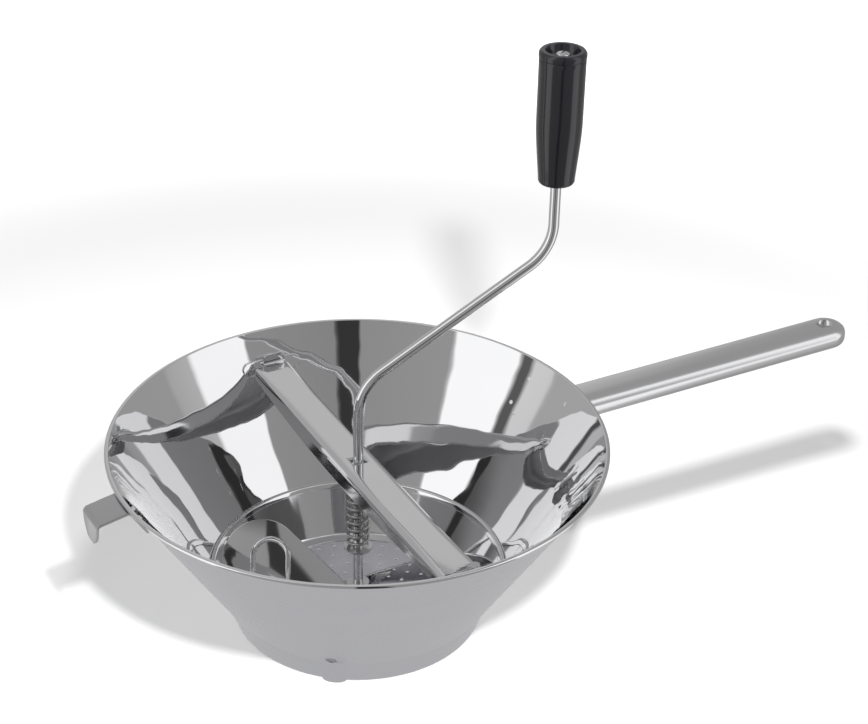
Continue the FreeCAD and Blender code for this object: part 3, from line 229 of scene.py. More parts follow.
# Meshes
class Mould:
    """Collects the surfaces of one piece, in millimetres, and makes its object."""

    def __init__(self, name: str) -> None:
        """Start an empty piece.

        Args:
            name: The object's name.
        """
        self.name = name
        self.mesh = bmesh.new()
        self.uv = self.mesh.loops.layers.uv.new("UVMap")

    def rings(self, rings: Sequence[Ring], closed: bool = False, inside_from: int = -1) -> None:
        """Grow a skin over a row of closed rings, by extruding the first ring from each to the next.

        Args:
            rings: Rings of equally many points.
            closed: Whether the last ring joins the first, or else the skin is capped at both ends.
            inside_from: First index round the ring that takes the second material, or -1.
        """
        count = len(rings[0])
        total = len(rings) if closed else len(rings) - 1
        first = row = [self.mesh.verts.new(p * MM) for p in rings[0]]
        edges = [self.mesh.edges.new(pair) for pair in zip(row, [*row[1:], row[0]])]
        if not closed:
            bmesh.ops.contextual_create(self.mesh, geom=edges)
        for i in range(total):
            places = {vert: (i, k) for k, vert in enumerate(row)}
            grown = bmesh.ops.extrude_edge_only(self.mesh, edges=edges)["geom"]
            following = {}
            for vert in (g for g in grown if isinstance(g, bmesh.types.BMVert)):
                k = next(places[v][1] for v in (e.other_vert(vert) for e in vert.link_edges) if v in places)
                vert.co = rings[(i + 1) % len(rings)][k] * MM
                following[k] = vert
            row = [following[k] for k in range(count)]
            places.update({vert: (i + 1, k) for k, vert in enumerate(row)})
            edges = [g for g in grown if isinstance(g, bmesh.types.BMEdge)]
            for face in (g for g in grown if isinstance(g, bmesh.types.BMFace)):
                self.lay(face, places, total, count, inside_from)
        if closed:
            bmesh.ops.weld_verts(self.mesh, targetmap=dict(zip(row, first)))
        else:
            bmesh.ops.contextual_create(self.mesh, geom=edges)

    def lay(self, face: bmesh.types.BMFace, places: dict[bmesh.types.BMVert, tuple[int, int]], total: int, count: int,
            inside_from: int) -> None:
        """Give a face of a skin its finish and its place on the skin's pattern.

        Args:
            face: The face.
            places: The ring and the index round it of each vertex.
            total: Stretches along the skin.
            count: Points round a ring.
            inside_from: First index round the ring that takes the second material, or -1.
        """
        indices = {places[vert][1] for vert in face.verts}
        last = indices == {0, count - 1}
        start = count - 1 if last else min(indices)
        face.material_index = int(0 <= inside_from <= start)
        for loop in face.loops:
            i, k = places[loop.vert]
            loop[self.uv].uv = (i / total, (count if last and k == 0 else k) / count)

    def spin(self, outline: Sequence[Point], segments: int, place: Callable[[float, float, float], Vector],
             inside_from: int = -1) -> None:
        """Turn a closed outline about the Z axis.

        Args:
            outline: Radius and height of each point.
            segments: Stretches round the axis.
            place: Gives the place of an angle, a radius and a height.
            inside_from: First outline point that takes the second material, or -1.
        """
        turn = 2 * math.pi / segments
        self.rings([[place(turn * i, r, z) for r, z in outline] for i in range(segments)],
                   closed=True, inside_from=inside_from)

    def tube(self, line: Sequence[Vector], radius: Callable[[float], float], sides: int) -> None:
        """Run a round tube along a line, with the radius that belongs to each share of its length."""
        self.sweep(line, lambda share: circle(ORIGIN, radius(share), sides))

    def sweep(self, line: Sequence[Vector], section: Callable[[float], list[Point]],
              first: Vector | None = None) -> None:
        """Run a section along a line.

        Args:
            line: The points of the line.
            section: Gives the closed section at a share of the length.
            first: Direction of the section's first axis at the start.
        """
        rings: list[Ring] = []
        side = first
        for i, p in enumerate(line):
            along = (line[min(i + 1, len(line) - 1)] - line[max(i - 1, 0)]).normalized()
            if side is None:
                side = along.orthogonal()
            side = (side - along * side.dot(along)).normalized()
            other = along.cross(side)
            share = i / (len(line) - 1)
            rings.append([p + side * a + other * b for a, b in section(share)])
        self.rings(rings)

    def plate(self, outline: Sequence[Point], thick: float, holes: Sequence[Sequence[Point]], place: Matrix,
              edge: float = 0.0, finish: int = 0) -> None:
        """A flat plate about the XY plane, moved to its place.

        Args:
            outline: Its outline.
            thick: Its thickness.
            holes: Outlines of its holes.
            place: Where it goes, in millimetres.
            edge: Width of the rounding along its edges.
            finish: Which of the piece's materials it takes.
        """
        flat = bmesh.new()
        for loop in (outline, *holes):
            verts = [flat.verts.new((x, y, -thick / 2)) for x, y in loop]
            for a, b in zip(verts, [*verts[1:], verts[0]]):
                flat.edges.new((a, b))
        if holes:
            bmesh.ops.triangle_fill(flat, use_beauty=True, edges=flat.edges[:], normal=(0, 0, 1))
        else:
            flat.faces.new(flat.verts[:])
        grown = bmesh.ops.extrude_face_region(flat, geom=flat.faces[:])
        top = [v for v in grown["geom"] if isinstance(v, bmesh.types.BMVert)]
        bmesh.ops.translate(flat, verts=top, vec=(0, 0, thick))
        bmesh.ops.recalc_face_normals(flat, faces=flat.faces[:])
        if edge > 0:
            rims = [e for e in flat.edges if e.is_manifold and e.calc_face_angle() > math.radians(BEVEL_FROM)]
            bmesh.ops.bevel(flat, geom=rims, offset=edge, segments=2, profile=0.5, affect="EDGES", material=-1)
        for face in flat.faces:
            face.material_index = finish
        flat.transform(Matrix.Diagonal((MM, MM, MM, 1)) @ place)
        scratch = bpy.data.meshes.new("plate")
        flat.to_mesh(scratch)
        flat.free()
        self.mesh.from_mesh(scratch)
        bpy.data.meshes.remove(scratch)

    def finish(self, materials: Sequence[bpy.types.Material], sharp: float = 35.0) -> bpy.types.Object:
        """Make the object.

        Args:
            materials: Its materials.
            sharp: Angle in degrees above which an edge stays sharp.

        Returns:
            The object, at the origin.
        """
        bmesh.ops.recalc_face_normals(self.mesh, faces=self.mesh.faces[:])
        data = bpy.data.meshes.new(self.name)
        self.mesh.to_mesh(data)
        self.mesh.free()
        for material in materials:
            data.materials.append(material)
        data.shade_smooth()
        data.set_sharp_from_angle(angle=math.radians(sharp))
        thing = bpy.data.objects.new(self.name, data)
        bpy.context.scene.collection.objects.link(thing)
        return thing


def cut(thing: bpy.types.Object, outline: Sequence[Point], thick: float, place: Matrix) -> None:
    """Cut an object with a plate that takes its first material.

    Args:
        thing: The object to cut.
        outline: The plate's outline.
        thick: Its thickness.
        place: Where it goes, in millimetres.
    """
    mould = Mould("tool")
    mould.plate(outline, thick, (), place)
    tool = mould.finish([thing.data.materials[0]])
    modifier = thing.modifiers.new("cut", "BOOLEAN")
    modifier.operation = "DIFFERENCE"
    modifier.solver = "EXACT"
    modifier.object = tool
    graph = bpy.context.evaluated_depsgraph_get()
    result = bpy.data.meshes.new_from_object(thing.evaluated_get(graph))
    thing.modifiers.clear()
    old, name = thing.data, thing.data.name
    thing.data = result
    bpy.data.meshes.remove(old)
    result.name = name
    bpy.data.objects.remove(tool)


def settle(thing: bpy.types.Object, body: Body, slot: Slot, *nodes: str) -> None:
    """Let a piece ride on a body and stand for nodes.

    Args:
        thing: The piece.
        body: The body that carries it.
        slot: Its material slot in the record; not used.
        nodes: The solids that it replaces.
    """
    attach(thing, body.value)
    if nodes:
        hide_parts(*nodes)
    LOG.info("%s: %d faces on %s", thing.name, len(thing.data.polygons), body.value)


# Finishes
class Graph:
    """Short calls for building shader nodes in one tree."""

    def __init__(self, tree: bpy.types.NodeTree) -> None:
        """Work in a tree."""
        self.tree = tree

    def node(self, kind: str, inputs: Inputs | None = None, **settings: object) -> bpy.types.Node:
        """Add a node.

        Args:
            kind: The node's type.
            inputs: What goes into its inputs.
            settings: Properties to set on it.

        Returns:
            The node.
        """
        made = self.tree.nodes.new(kind)
        for name, value in settings.items():
            setattr(made, name, value)
        self.feed(made, inputs or {})
        return made

    def feed(self, node: bpy.types.Node, inputs: Inputs) -> None:
        """Fill inputs of a node.

        Args:
            node: The node.
            inputs: Sockets to link or values to set, by the name or number of the input.
        """
        for name, value in inputs.items():
            if isinstance(value, Socket):
                self.tree.links.new(value, node.inputs[name])
            else:
                node.inputs[name].default_value = value

    def math(self, operation: str, *values: object) -> Socket:
        """The result of an operation on sockets or numbers."""
        return self.node("ShaderNodeMath", dict(enumerate(values)), operation=operation).outputs[0]

    def mix(self, kind: str, factor: object, a: object, b: object) -> Socket:
        """A mix of two sockets, numbers or colours."""
        return self.node("ShaderNodeMix", {"Factor": factor, "A": a, "B": b}, data_type=kind).outputs["Result"]

    def noise(self, place: Socket, scale: float, detail: float) -> Socket:
        """A cloudy pattern."""
        return self.node("ShaderNodeTexNoise", {"Vector": place, "Scale": scale, "Detail": detail}).outputs["Fac"]

    def smooth(self, value: Socket, reach: Point, values: Point = (0.0, 1.0)) -> Socket:
        """A value that changes smoothly while another goes through a reach."""
        inputs = {"Value": value, "From Min": reach[0], "From Max": reach[1], "To Min": values[0], "To Max": values[1]}
        return self.node("ShaderNodeMapRange", inputs, interpolation_type="SMOOTHSTEP").outputs["Result"]


def start_material(name: str) -> tuple[bpy.types.Material, Graph, bpy.types.Node]:
    """An empty material.

    Args:
        name: Its name.

    Returns:
        The material, the calls for its nodes and its shader.
    """
    material = bpy.data.materials.new(name)
    material.use_nodes = True
    return material, Graph(material.node_tree), material.node_tree.nodes["Principled BSDF"]


def start_group(name: str, inputs: Sequence[str],
                outputs: Sequence[str]) -> tuple[Graph, bpy.types.Node, bpy.types.Node]:
    """An empty node group.

    Args:
        name: Its name.
        inputs: Names of its inputs, which are vectors.
        outputs: Names of its outputs, which are numbers.

    Returns:
        The calls for its nodes, its input node and its output node.
    """
    tree = bpy.data.node_groups.new(name, "ShaderNodeTree")
    for label in inputs:
        tree.interface.new_socket(label, in_out="INPUT", socket_type="NodeSocketVector")
    for label in outputs:
        tree.interface.new_socket(label, in_out="OUTPUT", socket_type="NodeSocketFloat")
    graph = Graph(tree)
    return graph, graph.node("NodeGroupInput"), graph.node("NodeGroupOutput")


def surface_group() -> bpy.types.NodeTree:
    """The effect that all metals share: brush lines, faint cloudiness and pressed waviness.

    Returns:
        The node group, with outputs Lines, Cloud and Wave.
    """
    name = "metal_surface"
    if name not in bpy.data.node_groups:
        graph, start, end = start_group(name, ("Pattern", "Place"), ("Lines", "Cloud", "Wave"))
        for label, source, scale, detail in (("Lines", "Pattern", 1.0, 3.0), ("Cloud", "Place", 28.0, 4.0),
                                             ("Wave", "Place", 36.0, 1.5)):
            graph.feed(end, {label: graph.noise(start.outputs[source], scale, detail)})
    return bpy.data.node_groups[name]


@dataclass(frozen=True)
class Finish:
    """A look with a material of its own."""

    name: str
    colour: Triple
    roughness: float

    def material(self) -> bpy.types.Material:
        """Build the finish once.

        Returns:
            The material.
        """
        if self.name not in bpy.data.materials:
            _, graph, shader = start_material(self.name)
            self.dress(graph, shader)
        return bpy.data.materials[self.name]

    def dress(self, graph: Graph, shader: bpy.types.Node) -> None:
        """Set up the shader."""
        raise NotImplementedError


@dataclass(frozen=True)
class Metal(Finish):
    """A bare steel finish. Depths are in millimetres, and the lean is a change of slope below and above a height."""

    grain: Grain
    line_roughness: float = 0.06
    line_depth: float = 0.004
    cloud_roughness: float = 0.03
    wave_depth: float = 0.0
    tint_depth: float = 0.06
    streak: float = 0.0
    lean: Point = (0.0, 0.0)
    lean_height: float = 40.0
    lean_blend: float = 15.0
    # The last two fields paint light: the colour turns paler where the metal is seen through other reflections.
    deep_from: float = 1.5
    deep_painted_tone: float = 0.97
    deep_painted_share: float = 0.0

    def dress(self, graph: Graph, shader: bpy.types.Node) -> None:
        """Set up the shader.

        Args:
            graph: The material's nodes.
            shader: The shader.
        """
        place = graph.node("ShaderNodeTexCoord").outputs
        source = place["UV" if self.grain is Grain.ROUND else "Object"]
        stretch = graph.node("ShaderNodeMapping", {"Vector": source, "Scale": self.grain.value})
        surface = graph.node("ShaderNodeGroup", {"Pattern": stretch.outputs["Vector"], "Place": place["Object"]},
                             node_tree=surface_group())
        lines, cloud, wave = (surface.outputs[label] for label in ("Lines", "Cloud", "Wave"))
        rough = graph.math("MULTIPLY_ADD", lines, self.line_roughness, self.roughness - self.line_roughness / 2)
        rough = graph.math("MULTIPLY_ADD", cloud, self.cloud_roughness, rough)
        deep = graph.math("GREATER_THAN", graph.node("ShaderNodeLightPath").outputs["Glossy Depth"], self.deep_from)
        tone = self.tone(graph, lines, cloud, deep)
        graph.feed(shader, {"Metallic": 1.0, "Roughness": rough, "Base Color": tone})
        bumps = [(wave, self.wave_depth * MM), (lines, self.line_depth * MM)]
        if any(self.lean):
            bumps.append((self.leaning(graph, place["Object"]), 1.0))
        self.raise_normal(graph, bumps, graph.math("SUBTRACT", 1.0, deep), shader)

    def tone(self, graph: Graph, lines: Socket, cloud: Socket, deep: Socket) -> Socket:
        """The metal's colour, with faint marks, and a painted lift of light: paler where it is seen through other
        reflections.

        Args:
            graph: The material's nodes.
            lines: The brush lines.
            cloud: The cloudiness.
            deep: Whether the surface is seen through other reflections.

        Returns:
            The colour's socket.
        """
        marks = graph.mix("FLOAT", self.streak, cloud, lines)
        faint = (*((1 - self.tint_depth) * c for c in self.colour), 1)
        tint = graph.mix("RGBA", marks, faint, (*self.colour, 1))
        # Painted light: mix towards a pale tone where the metal is seen through other reflections.
        return graph.mix("RGBA", graph.math("MULTIPLY", deep, self.deep_painted_share), tint, (*[self.deep_painted_tone] * 3, 1))

    def leaning(self, graph: Graph, place: Socket) -> Socket:
        """The height of a bump that leans the wall by one slope low down and by another higher up.

        Args:
            graph: The material's nodes.
            place: The place on the object.

        Returns:
            The height's socket.
        """
        low, high = self.lean
        z = graph.node("ShaderNodeSeparateXYZ", {"Vector": place}).outputs["Z"]
        above = graph.math("SMOOTH_MAX", z, self.lean_height * MM, self.lean_blend * MM)
        return graph.math("MULTIPLY_ADD", above, high - low, graph.math("MULTIPLY", z, low))

    @staticmethod
    def raise_normal(graph: Graph, bumps: Sequence[tuple[Socket, float]],
                     strength: Socket, shader: bpy.types.Node) -> None:
        """Tilt the surface by a row of bumps.

        Args:
            graph: The material's nodes.
            bumps: Each height with its depth in metres.
            strength: How much the bumps count.
            shader: The shader to steer.
        """
        target = shader
        for height, depth in bumps:
            bump = graph.node("ShaderNodeBump", {"Distance": depth, "Strength": strength, "Height": height})
            graph.feed(target, {"Normal": bump.outputs["Normal"]})
            target = bump


@dataclass(frozen=True)
class Plastic(Finish):
    """A moulded plastic finish."""

    orange_peel: float
    uneven: float = 0.18
    grain_scale: float = 260.0
    grain_detail: float = 5.0
    coat: float = 0.1
    coat_roughness: float = 0.05

    def dress(self, graph: Graph, shader: bpy.types.Node) -> None:
        """Set up the shader.

        Args:
            graph: The material's nodes.
            shader: The shader.
        """
        grain = graph.noise(graph.node("ShaderNodeTexCoord").outputs["Object"], self.grain_scale, self.grain_detail)
        rough = graph.math("MULTIPLY_ADD", grain, self.uneven, self.roughness - self.uneven / 2)
        bump = graph.node("ShaderNodeBump", {"Distance": self.orange_peel * MM, "Height": grain})
        graph.feed(shader, {"Base Color": (*self.colour, 1), "Roughness": rough, "Normal": bump.outputs["Normal"],
                            "Coat Weight": self.coat, "Coat Roughness": self.coat_roughness})


WHITE = (1.0, 1.0, 1.0, 1.0)
STEEL = (0.69, 0.69, 0.70)
# The mirror's deep reflections are painted paler, a painted lift of light.
MIRROR = Metal("mirror_steel", STEEL, 0.02, Grain.ROUND, line_roughness=0.01, line_depth=0.0002,
               cloud_roughness=0.01, wave_depth=0.24, lean=(-0.03, 0.06), deep_painted_share=0.9)
SATIN = Metal("brushed_steel", (0.70, 0.70, 0.73), 0.26, Grain.ROUND, line_roughness=0.03, line_depth=0.0,
              streak=0.8)
HANDLE_STEEL = Metal("handle_steel", STEEL, 0.2, Grain.ALONG_X)
HOOK_STEEL = Metal("hook_steel", (0.52, 0.52, 0.53), 0.22, Grain.ALONG_X)
BAR_STEEL = Metal("bar_steel", STEEL, 0.07, Grain.ALONG_Y, line_roughness=0.04, line_depth=0.001)
# A paler copy of the bar's steel for the channel's inside: painted light that lifts its dim inside.
BAR_INSIDE_PAINTED_LIGHT = Metal("bar_inside_painted_light", (0.84, 0.84, 0.85), 0.5, Grain.ALONG_Y)
BLADE_STEEL = Metal("blade_steel", STEEL, 0.05, Grain.NONE, line_roughness=0.03, wave_depth=0.03)
ROD_STEEL = Metal("rod_steel", STEEL, 0.06, Grain.NONE, line_roughness=0.04, line_depth=0.0004)
SPRING_STEEL = Metal("spring_steel", (0.45, 0.44, 0.43), 0.28, Grain.NONE)
DISH_STEEL = Metal("dish_steel", STEEL, 0.03, Grain.NONE, line_roughness=0.01, line_depth=0.0003, wave_depth=0.08)
FIELD_STEEL = Metal("field_steel", (0.78, 0.78, 0.83), 0.50, Grain.NONE)
# Pale rough steel for the weld marks: partly their own tone, partly painted glints.
WELD_GLINT_STEEL = Metal("weld_glint_steel", (0.86, 0.86, 0.87), 0.45, Grain.NONE)
HIDDEN_STEEL = Metal("inner_steel", (0.62, 0.62, 0.63), 0.28, Grain.NONE)
GRIP_PLASTIC = Plastic("grip_plastic", (0.003, 0.003, 0.004), 0.14, 0.003)


# Sub-assemblies, with sizes in millimetres
@dataclass
class Bowl:
    """The pressed bowl and its spot welds, whose pale finish also paints glints."""

    rim_radius: float = 120.0
    rim_height: float = 97.0
    lip_width: float = 2.0
    lip_thick: float = 1.8
    kink_radius: float = 66.2
    kink_height: float = 13.4
    foot_radius: float = 61.3
    wall: float = 0.9
    lug_angle: float = 54.5
    lug_width: float = 11.5
    lug_proud: float = 2.8
    lug_height: float = 7.5
    slot_half: float = 2.6
    slot_rise: float = 1.3
    slot_height: float = 14.5
    kink_round: float = 2.5
    neck_round: float = 0.5
    lip_round: float = 0.8
    foot_round: float = 0.3
    weld_places: tuple[Point, ...] = ((-1.3, 88.8), (14.2, 88.3), (16.5, 75.7), (13.9, 72.2), (178.4, 87.0),
                                      (182.8, 87.0))
    weld_heights: Triple = (-0.2, 0.12, 0.25)
    weld_radius: float = 1.3
    weld_fall: float = 0.9
    fine_step: float = 0.7
    coarse_step: float = 6.0
    slot_steps: int = 10
    weld_points: int = 24
    segments: int = 480

    @property
    def slope(self) -> float:
        """Growth of the wall's radius with height."""
        rise = self.rim_height - self.lip_thick - self.kink_height
        return (self.rim_radius - self.lip_width - self.kink_radius) / rise

    @property
    def lean(self) -> float:
        """Length of the wall's slant for each millimetre of height."""
        return math.hypot(1, self.slope)

    def outside(self, z: float) -> float:
        """Radius of the outer wall at a height."""
        return self.kink_radius + (z - self.kink_height) * self.slope

    def inside(self, z: float) -> float:
        """Radius of the inner wall at a height."""
        return self.outside(z) - self.wall * self.lean

    def press(self, angle: float, r: float, z: float) -> Vector:
        """Press the lugs outwards.

        Args:
            angle: Direction of a point of the bowl.
            r: Its radius before pressing.
            z: Its height.

        Returns:
            The point's place.
        """
        out = 0.0
        for turn in (0.0, math.pi):
            lug = self.across(angle, math.radians(self.lug_angle) + turn, r)
            width = 1 - (2 * lug / self.lug_width) ** 2
            if width > 0 and z < self.lug_height:
                out += self.lug_proud * math.sqrt(width) * (1 - z / self.lug_height)
        return polar(angle, r + out, z)

    @staticmethod
    def across(angle: float, middle: float, r: float) -> float:
        """Distance round the wall from a middle direction."""
        apart = (angle - middle + math.pi) % (2 * math.pi) - math.pi
        return apart * r

    def step(self, z: float) -> float:
        """Longest stretch of the wall's section at a height."""
        return self.fine_step if z < self.lug_height + 1 else self.coarse_step

    def build(self) -> None:
        """Make the bowl and its welds."""
        across = self.wall * self.lean
        under = self.rim_height - self.lip_thick
        neck = self.rim_radius - self.lip_width
        outer = [
            (self.foot_radius, 0.0, self.foot_round),
            (self.kink_radius, self.kink_height, self.kink_round),
            (neck, under, self.neck_round),
            (self.rim_radius, under, self.lip_round),
            (self.rim_radius, self.rim_height, self.lip_round),
        ]
        inner = [
            (self.inside(self.rim_height), self.rim_height, self.neck_round),
            (self.kink_radius - across, self.kink_height, self.kink_round),
            (self.foot_radius - across, 0.0, self.foot_round),
        ]
        outline = divided(rounded(outer + inner), self.step)
        polished_from = next(i for i, point in enumerate(outline) if point[0] > neck + self.lip_width / 2)
        mould = Mould("bowl_shell")
        mould.spin(outline, self.segments, self.press, inside_from=polished_from)
        shell = mould.finish([SATIN.material(), MIRROR.material()])
        self.cut_slots(shell)
        settle(shell, Body.BOWL, Slot.SATIN, "bowl")
        self.build_welds()

    def cut_slots(self, shell: bpy.types.Object) -> None:
        """Cut both slots above the lugs with one lens-shaped rod.

        Args:
            shell: The bowl.
        """
        radius = (self.slot_half**2 + self.slot_rise**2) / (2 * self.slot_rise)
        sweep = math.degrees(math.asin(self.slot_half / radius))
        top = arc((0, self.slot_rise - radius), radius, 90 + sweep, 90 - sweep, self.slot_steps)
        lens = [*top[:-1], *((-x, -y) for x, y in top[:-1])]
        middle = Matrix.Translation((0, 0, self.slot_height))
        cut(shell, lens, 2 * self.rim_radius, middle @ turned(self.lug_angle + 90) @ turned(90, "X"))

    def build_welds(self) -> None:
        """Shallow spot-weld marks inside the wall where the bracket and the hook are fixed; their pale finish is
        partly painted glints.
        """
        mould = Mould("spot_welds_and_glints")
        for angle, z in self.weld_places:
            out = polar(math.radians(angle), 1.0)
            normal = (Z_AXIS * self.slope - out).normalized()
            middle = out * self.inside(z) + Z_AXIS * z
            mould.sweep([middle + normal * height for height in self.weld_heights],
                        lambda share: circle(ORIGIN, self.weld_radius - self.weld_fall * share**2, self.weld_points))
        settle(mould.finish([WELD_GLINT_STEEL.material()]), Body.BOWL, Slot.SATIN)


@dataclass
class BarSeats:
    """The two obround pads welded inside the wall, in front of the bar's ends."""

    bowl: Bowl
    width: float = 32.2
    tall: float = 6.5
    thick: float = 0.8
    gap: float = 0.1
    height: float = 81.3
    edge: float = 0.7
    edge_share: float = 0.8
    least: float = 0.05
    thin: float = 0.1
    round_steps: int = 6
    flat_steps: int = 8
    stations: int = 80

    def build(self) -> None:
        """Make both pads."""
        mould = Mould("seat_pads")
        for middle in (math.pi / 2, -math.pi / 2):
            mould.rings([self.section(middle, i / self.stations) for i in range(self.stations + 1)])
        settle(mould.finish([MIRROR.material()]), Body.BOWL, Slot.SATIN, "bar_seat_back", "bar_seat_front")

    def section(self, middle: float, share: float) -> Ring:
        """One upright section of a pad.

        Args:
            middle: Direction of the pad's middle.
            share: Place along the pad, from 0 to 1, crowded towards its ends.

        Returns:
            The section's points.
        """
        lean = self.bowl.lean
        x = -self.width / 2 * math.cos(math.pi * share)
        end = self.tall / 2 * lean
        past = max(abs(x) - (self.width / 2 - end), 0.0)
        half = max(math.sqrt(max(end**2 - past**2, 0.0)), self.least)
        edge = min(self.edge, self.edge_share * half)
        full = math.sqrt(smooth_step(0.0, 2 * self.edge_share * self.edge, half))
        thick = self.thick * (self.thin + (1 - self.thin) * full)
        side = [(half, -self.gap), *((half - edge + edge * c, thick * s)
                                     for c, s in arc(ORIGIN, 1.0, 0, 90, self.round_steps))]
        flat = [((half - edge) * (1 - 2 * k / self.flat_steps), thick) for k in range(1, self.flat_steps)]
        out = polar(middle + x / self.bowl.inside(self.height), 1.0)
        inwards = (Z_AXIS * self.bowl.slope - out) / lean
        points: Ring = []
        for v, proud in [*side, *flat, *((-v, h) for v, h in reversed(side))]:
            z = self.height + v / lean
            points.append(out * self.bowl.inside(z) + Z_AXIS * z + inwards * (self.gap + proud))
        return points


@dataclass
class Sieve:
    """The perforated dish nested in the foot of the bowl."""

    bowl: Bowl
    sheet: float = 0.8
    clearance: float = 0.2
    top: float = 26.0
    hem: float = 1.2
    hem_tall: float = 2.4
    ring_top: float = 2.6
    field_top: float = 2.0
    field_radius: float = 52.0
    field_gap: float = 0.4
    pivot_radius: float = 2.56
    hole_radius: float = 0.9
    hole_pitch: float = 8.0
    hole_rings: int = 6
    first_ring: int = 6
    step_round: float = 0.5
    fold_round: float = 0.3
    knee_round: float = 2.0
    brim_round: float = 0.7
    hem_round: float = 1.3
    tuck_round: float = 0.4
    pivot_points: int = 36
    hole_points: int = 24
    field_points: int = 120
    segments: int = 240

    def outer(self, z: float) -> float:
        """Radius of the dish's outside at a height."""
        return self.bowl.inside(z) - self.clearance

    def inner(self, z: float) -> float:
        """Radius of the dish's inside at a height."""
        return self.outer(z) - self.sheet * self.bowl.lean

    def build(self) -> None:
        """Make the dish: turned wall with a hemmed edge, and flat perforated field."""
        ring_under, field_under = self.ring_top - self.sheet, self.field_top - self.sheet
        hem_foot = self.top - self.hem_tall
        field_edge = self.field_radius - self.field_gap
        wall = [
            (self.field_radius + self.sheet, field_under, self.step_round),
            (self.field_radius + self.sheet, ring_under, self.fold_round),
            (self.outer(ring_under), ring_under, self.knee_round),
            (self.outer(self.top), self.top, self.brim_round),
            (self.inner(self.top) - self.hem, self.top, self.hem_round),
            (self.inner(hem_foot) - self.hem, hem_foot, self.hem_round),
            (self.inner(hem_foot), hem_foot, self.tuck_round),
            (self.inner(self.ring_top), self.ring_top, self.knee_round),
            (self.field_radius, self.ring_top, self.step_round),
            (self.field_radius, self.field_top, self.fold_round),
            (field_edge, self.field_top, 0.0),
            (field_edge, field_under, 0.0),
        ]
        mould = Mould("sieve_dish")
        mould.spin(rounded(wall), self.segments, polar)
        holes = [circle(ORIGIN, self.pivot_radius, self.pivot_points)]
        for k in range(1, self.hole_rings + 1):
            holes += [circle(middle, self.hole_radius, self.hole_points)
                      for middle in circle(ORIGIN, k * self.hole_pitch, k * self.first_ring)]
        level = Matrix.Translation((0, 0, self.field_top - self.sheet / 2))
        mould.plate(circle(ORIGIN, field_edge, self.field_points), self.sheet, holes, level, finish=1)
        settle(mould.finish([DISH_STEEL.material(), FIELD_STEEL.material()]), Body.BOWL, Slot.SATIN, "sieve_disc")


@dataclass
class Handle:
    """The flattened-oval side handle with its hanging hole."""

    bowl: Bowl
    height: float = 82.6
    rise: float = 1.7
    tip: float = 285.0
    width: float = 21.5
    thick: float = 12.5
    root_gap: float = 2.1
    hole_radius: float = 3.75
    hole_inset: float = 11.3
    roundness: float = 2.7
    straight: float = 0.45
    tip_fall: float = 0.55
    tip_least: float = 0.02
    stations: int = 60
    points: int = 72
    hole_points: int = 48

    def build(self) -> None:
        """Make the tube and cut its hole."""
        tilt = Matrix.Translation((0, 0, self.height)) @ turned(-self.rise, "Y")
        mould = Mould("handle_tube")
        mould.rings([self.section(i / self.stations, tilt) for i in range(self.stations + 1)])
        tube = mould.finish([HANDLE_STEEL.material()])
        middle = Matrix.Translation((self.tip - self.hole_inset, 0, 0))
        cut(tube, circle(ORIGIN, self.hole_radius, self.hole_points), 4 * self.thick, tilt @ middle)
        settle(tube, Body.BOWL, Slot.SATIN, "handle")

    def section(self, share: float, tilt: Matrix) -> Ring:
        """One oval section of the tube, the first lying along the bowl's wall and the last at the tip.

        Args:
            share: Place along the tube, from 0 to 1; it is straight up to the share of that name.
            tilt: The tube's place and rise.

        Returns:
            The section's points.
        """
        end = self.tip - self.width / 2
        root = self.bowl.outside(self.height + self.bowl.rim_radius * math.tan(math.radians(self.rise)))
        root += self.root_gap
        if share < self.straight:
            x, size = root + (end - root) * share / self.straight, 1.0
        else:
            turn = math.pi / 2 * (share - self.straight) / (1 - self.straight)
            x, size = end + self.width / 2 * math.sin(turn), max(math.cos(turn), self.tip_least)
        power = 2 / self.roundness
        ring: Ring = []
        for k in range(self.points):
            angle = 2 * math.pi * k / self.points
            c, s = math.cos(angle), math.sin(angle)
            y = self.width / 2 * size * math.copysign(abs(c) ** power, c)
            z = self.thick / 2 * size**self.tip_fall * math.copysign(abs(s) ** power, s)
            lean = self.bowl.slope * z * max(1 - share / self.straight, 0.0)
            ring.append(tilt @ Vector((x + lean, y, z)))
        return ring


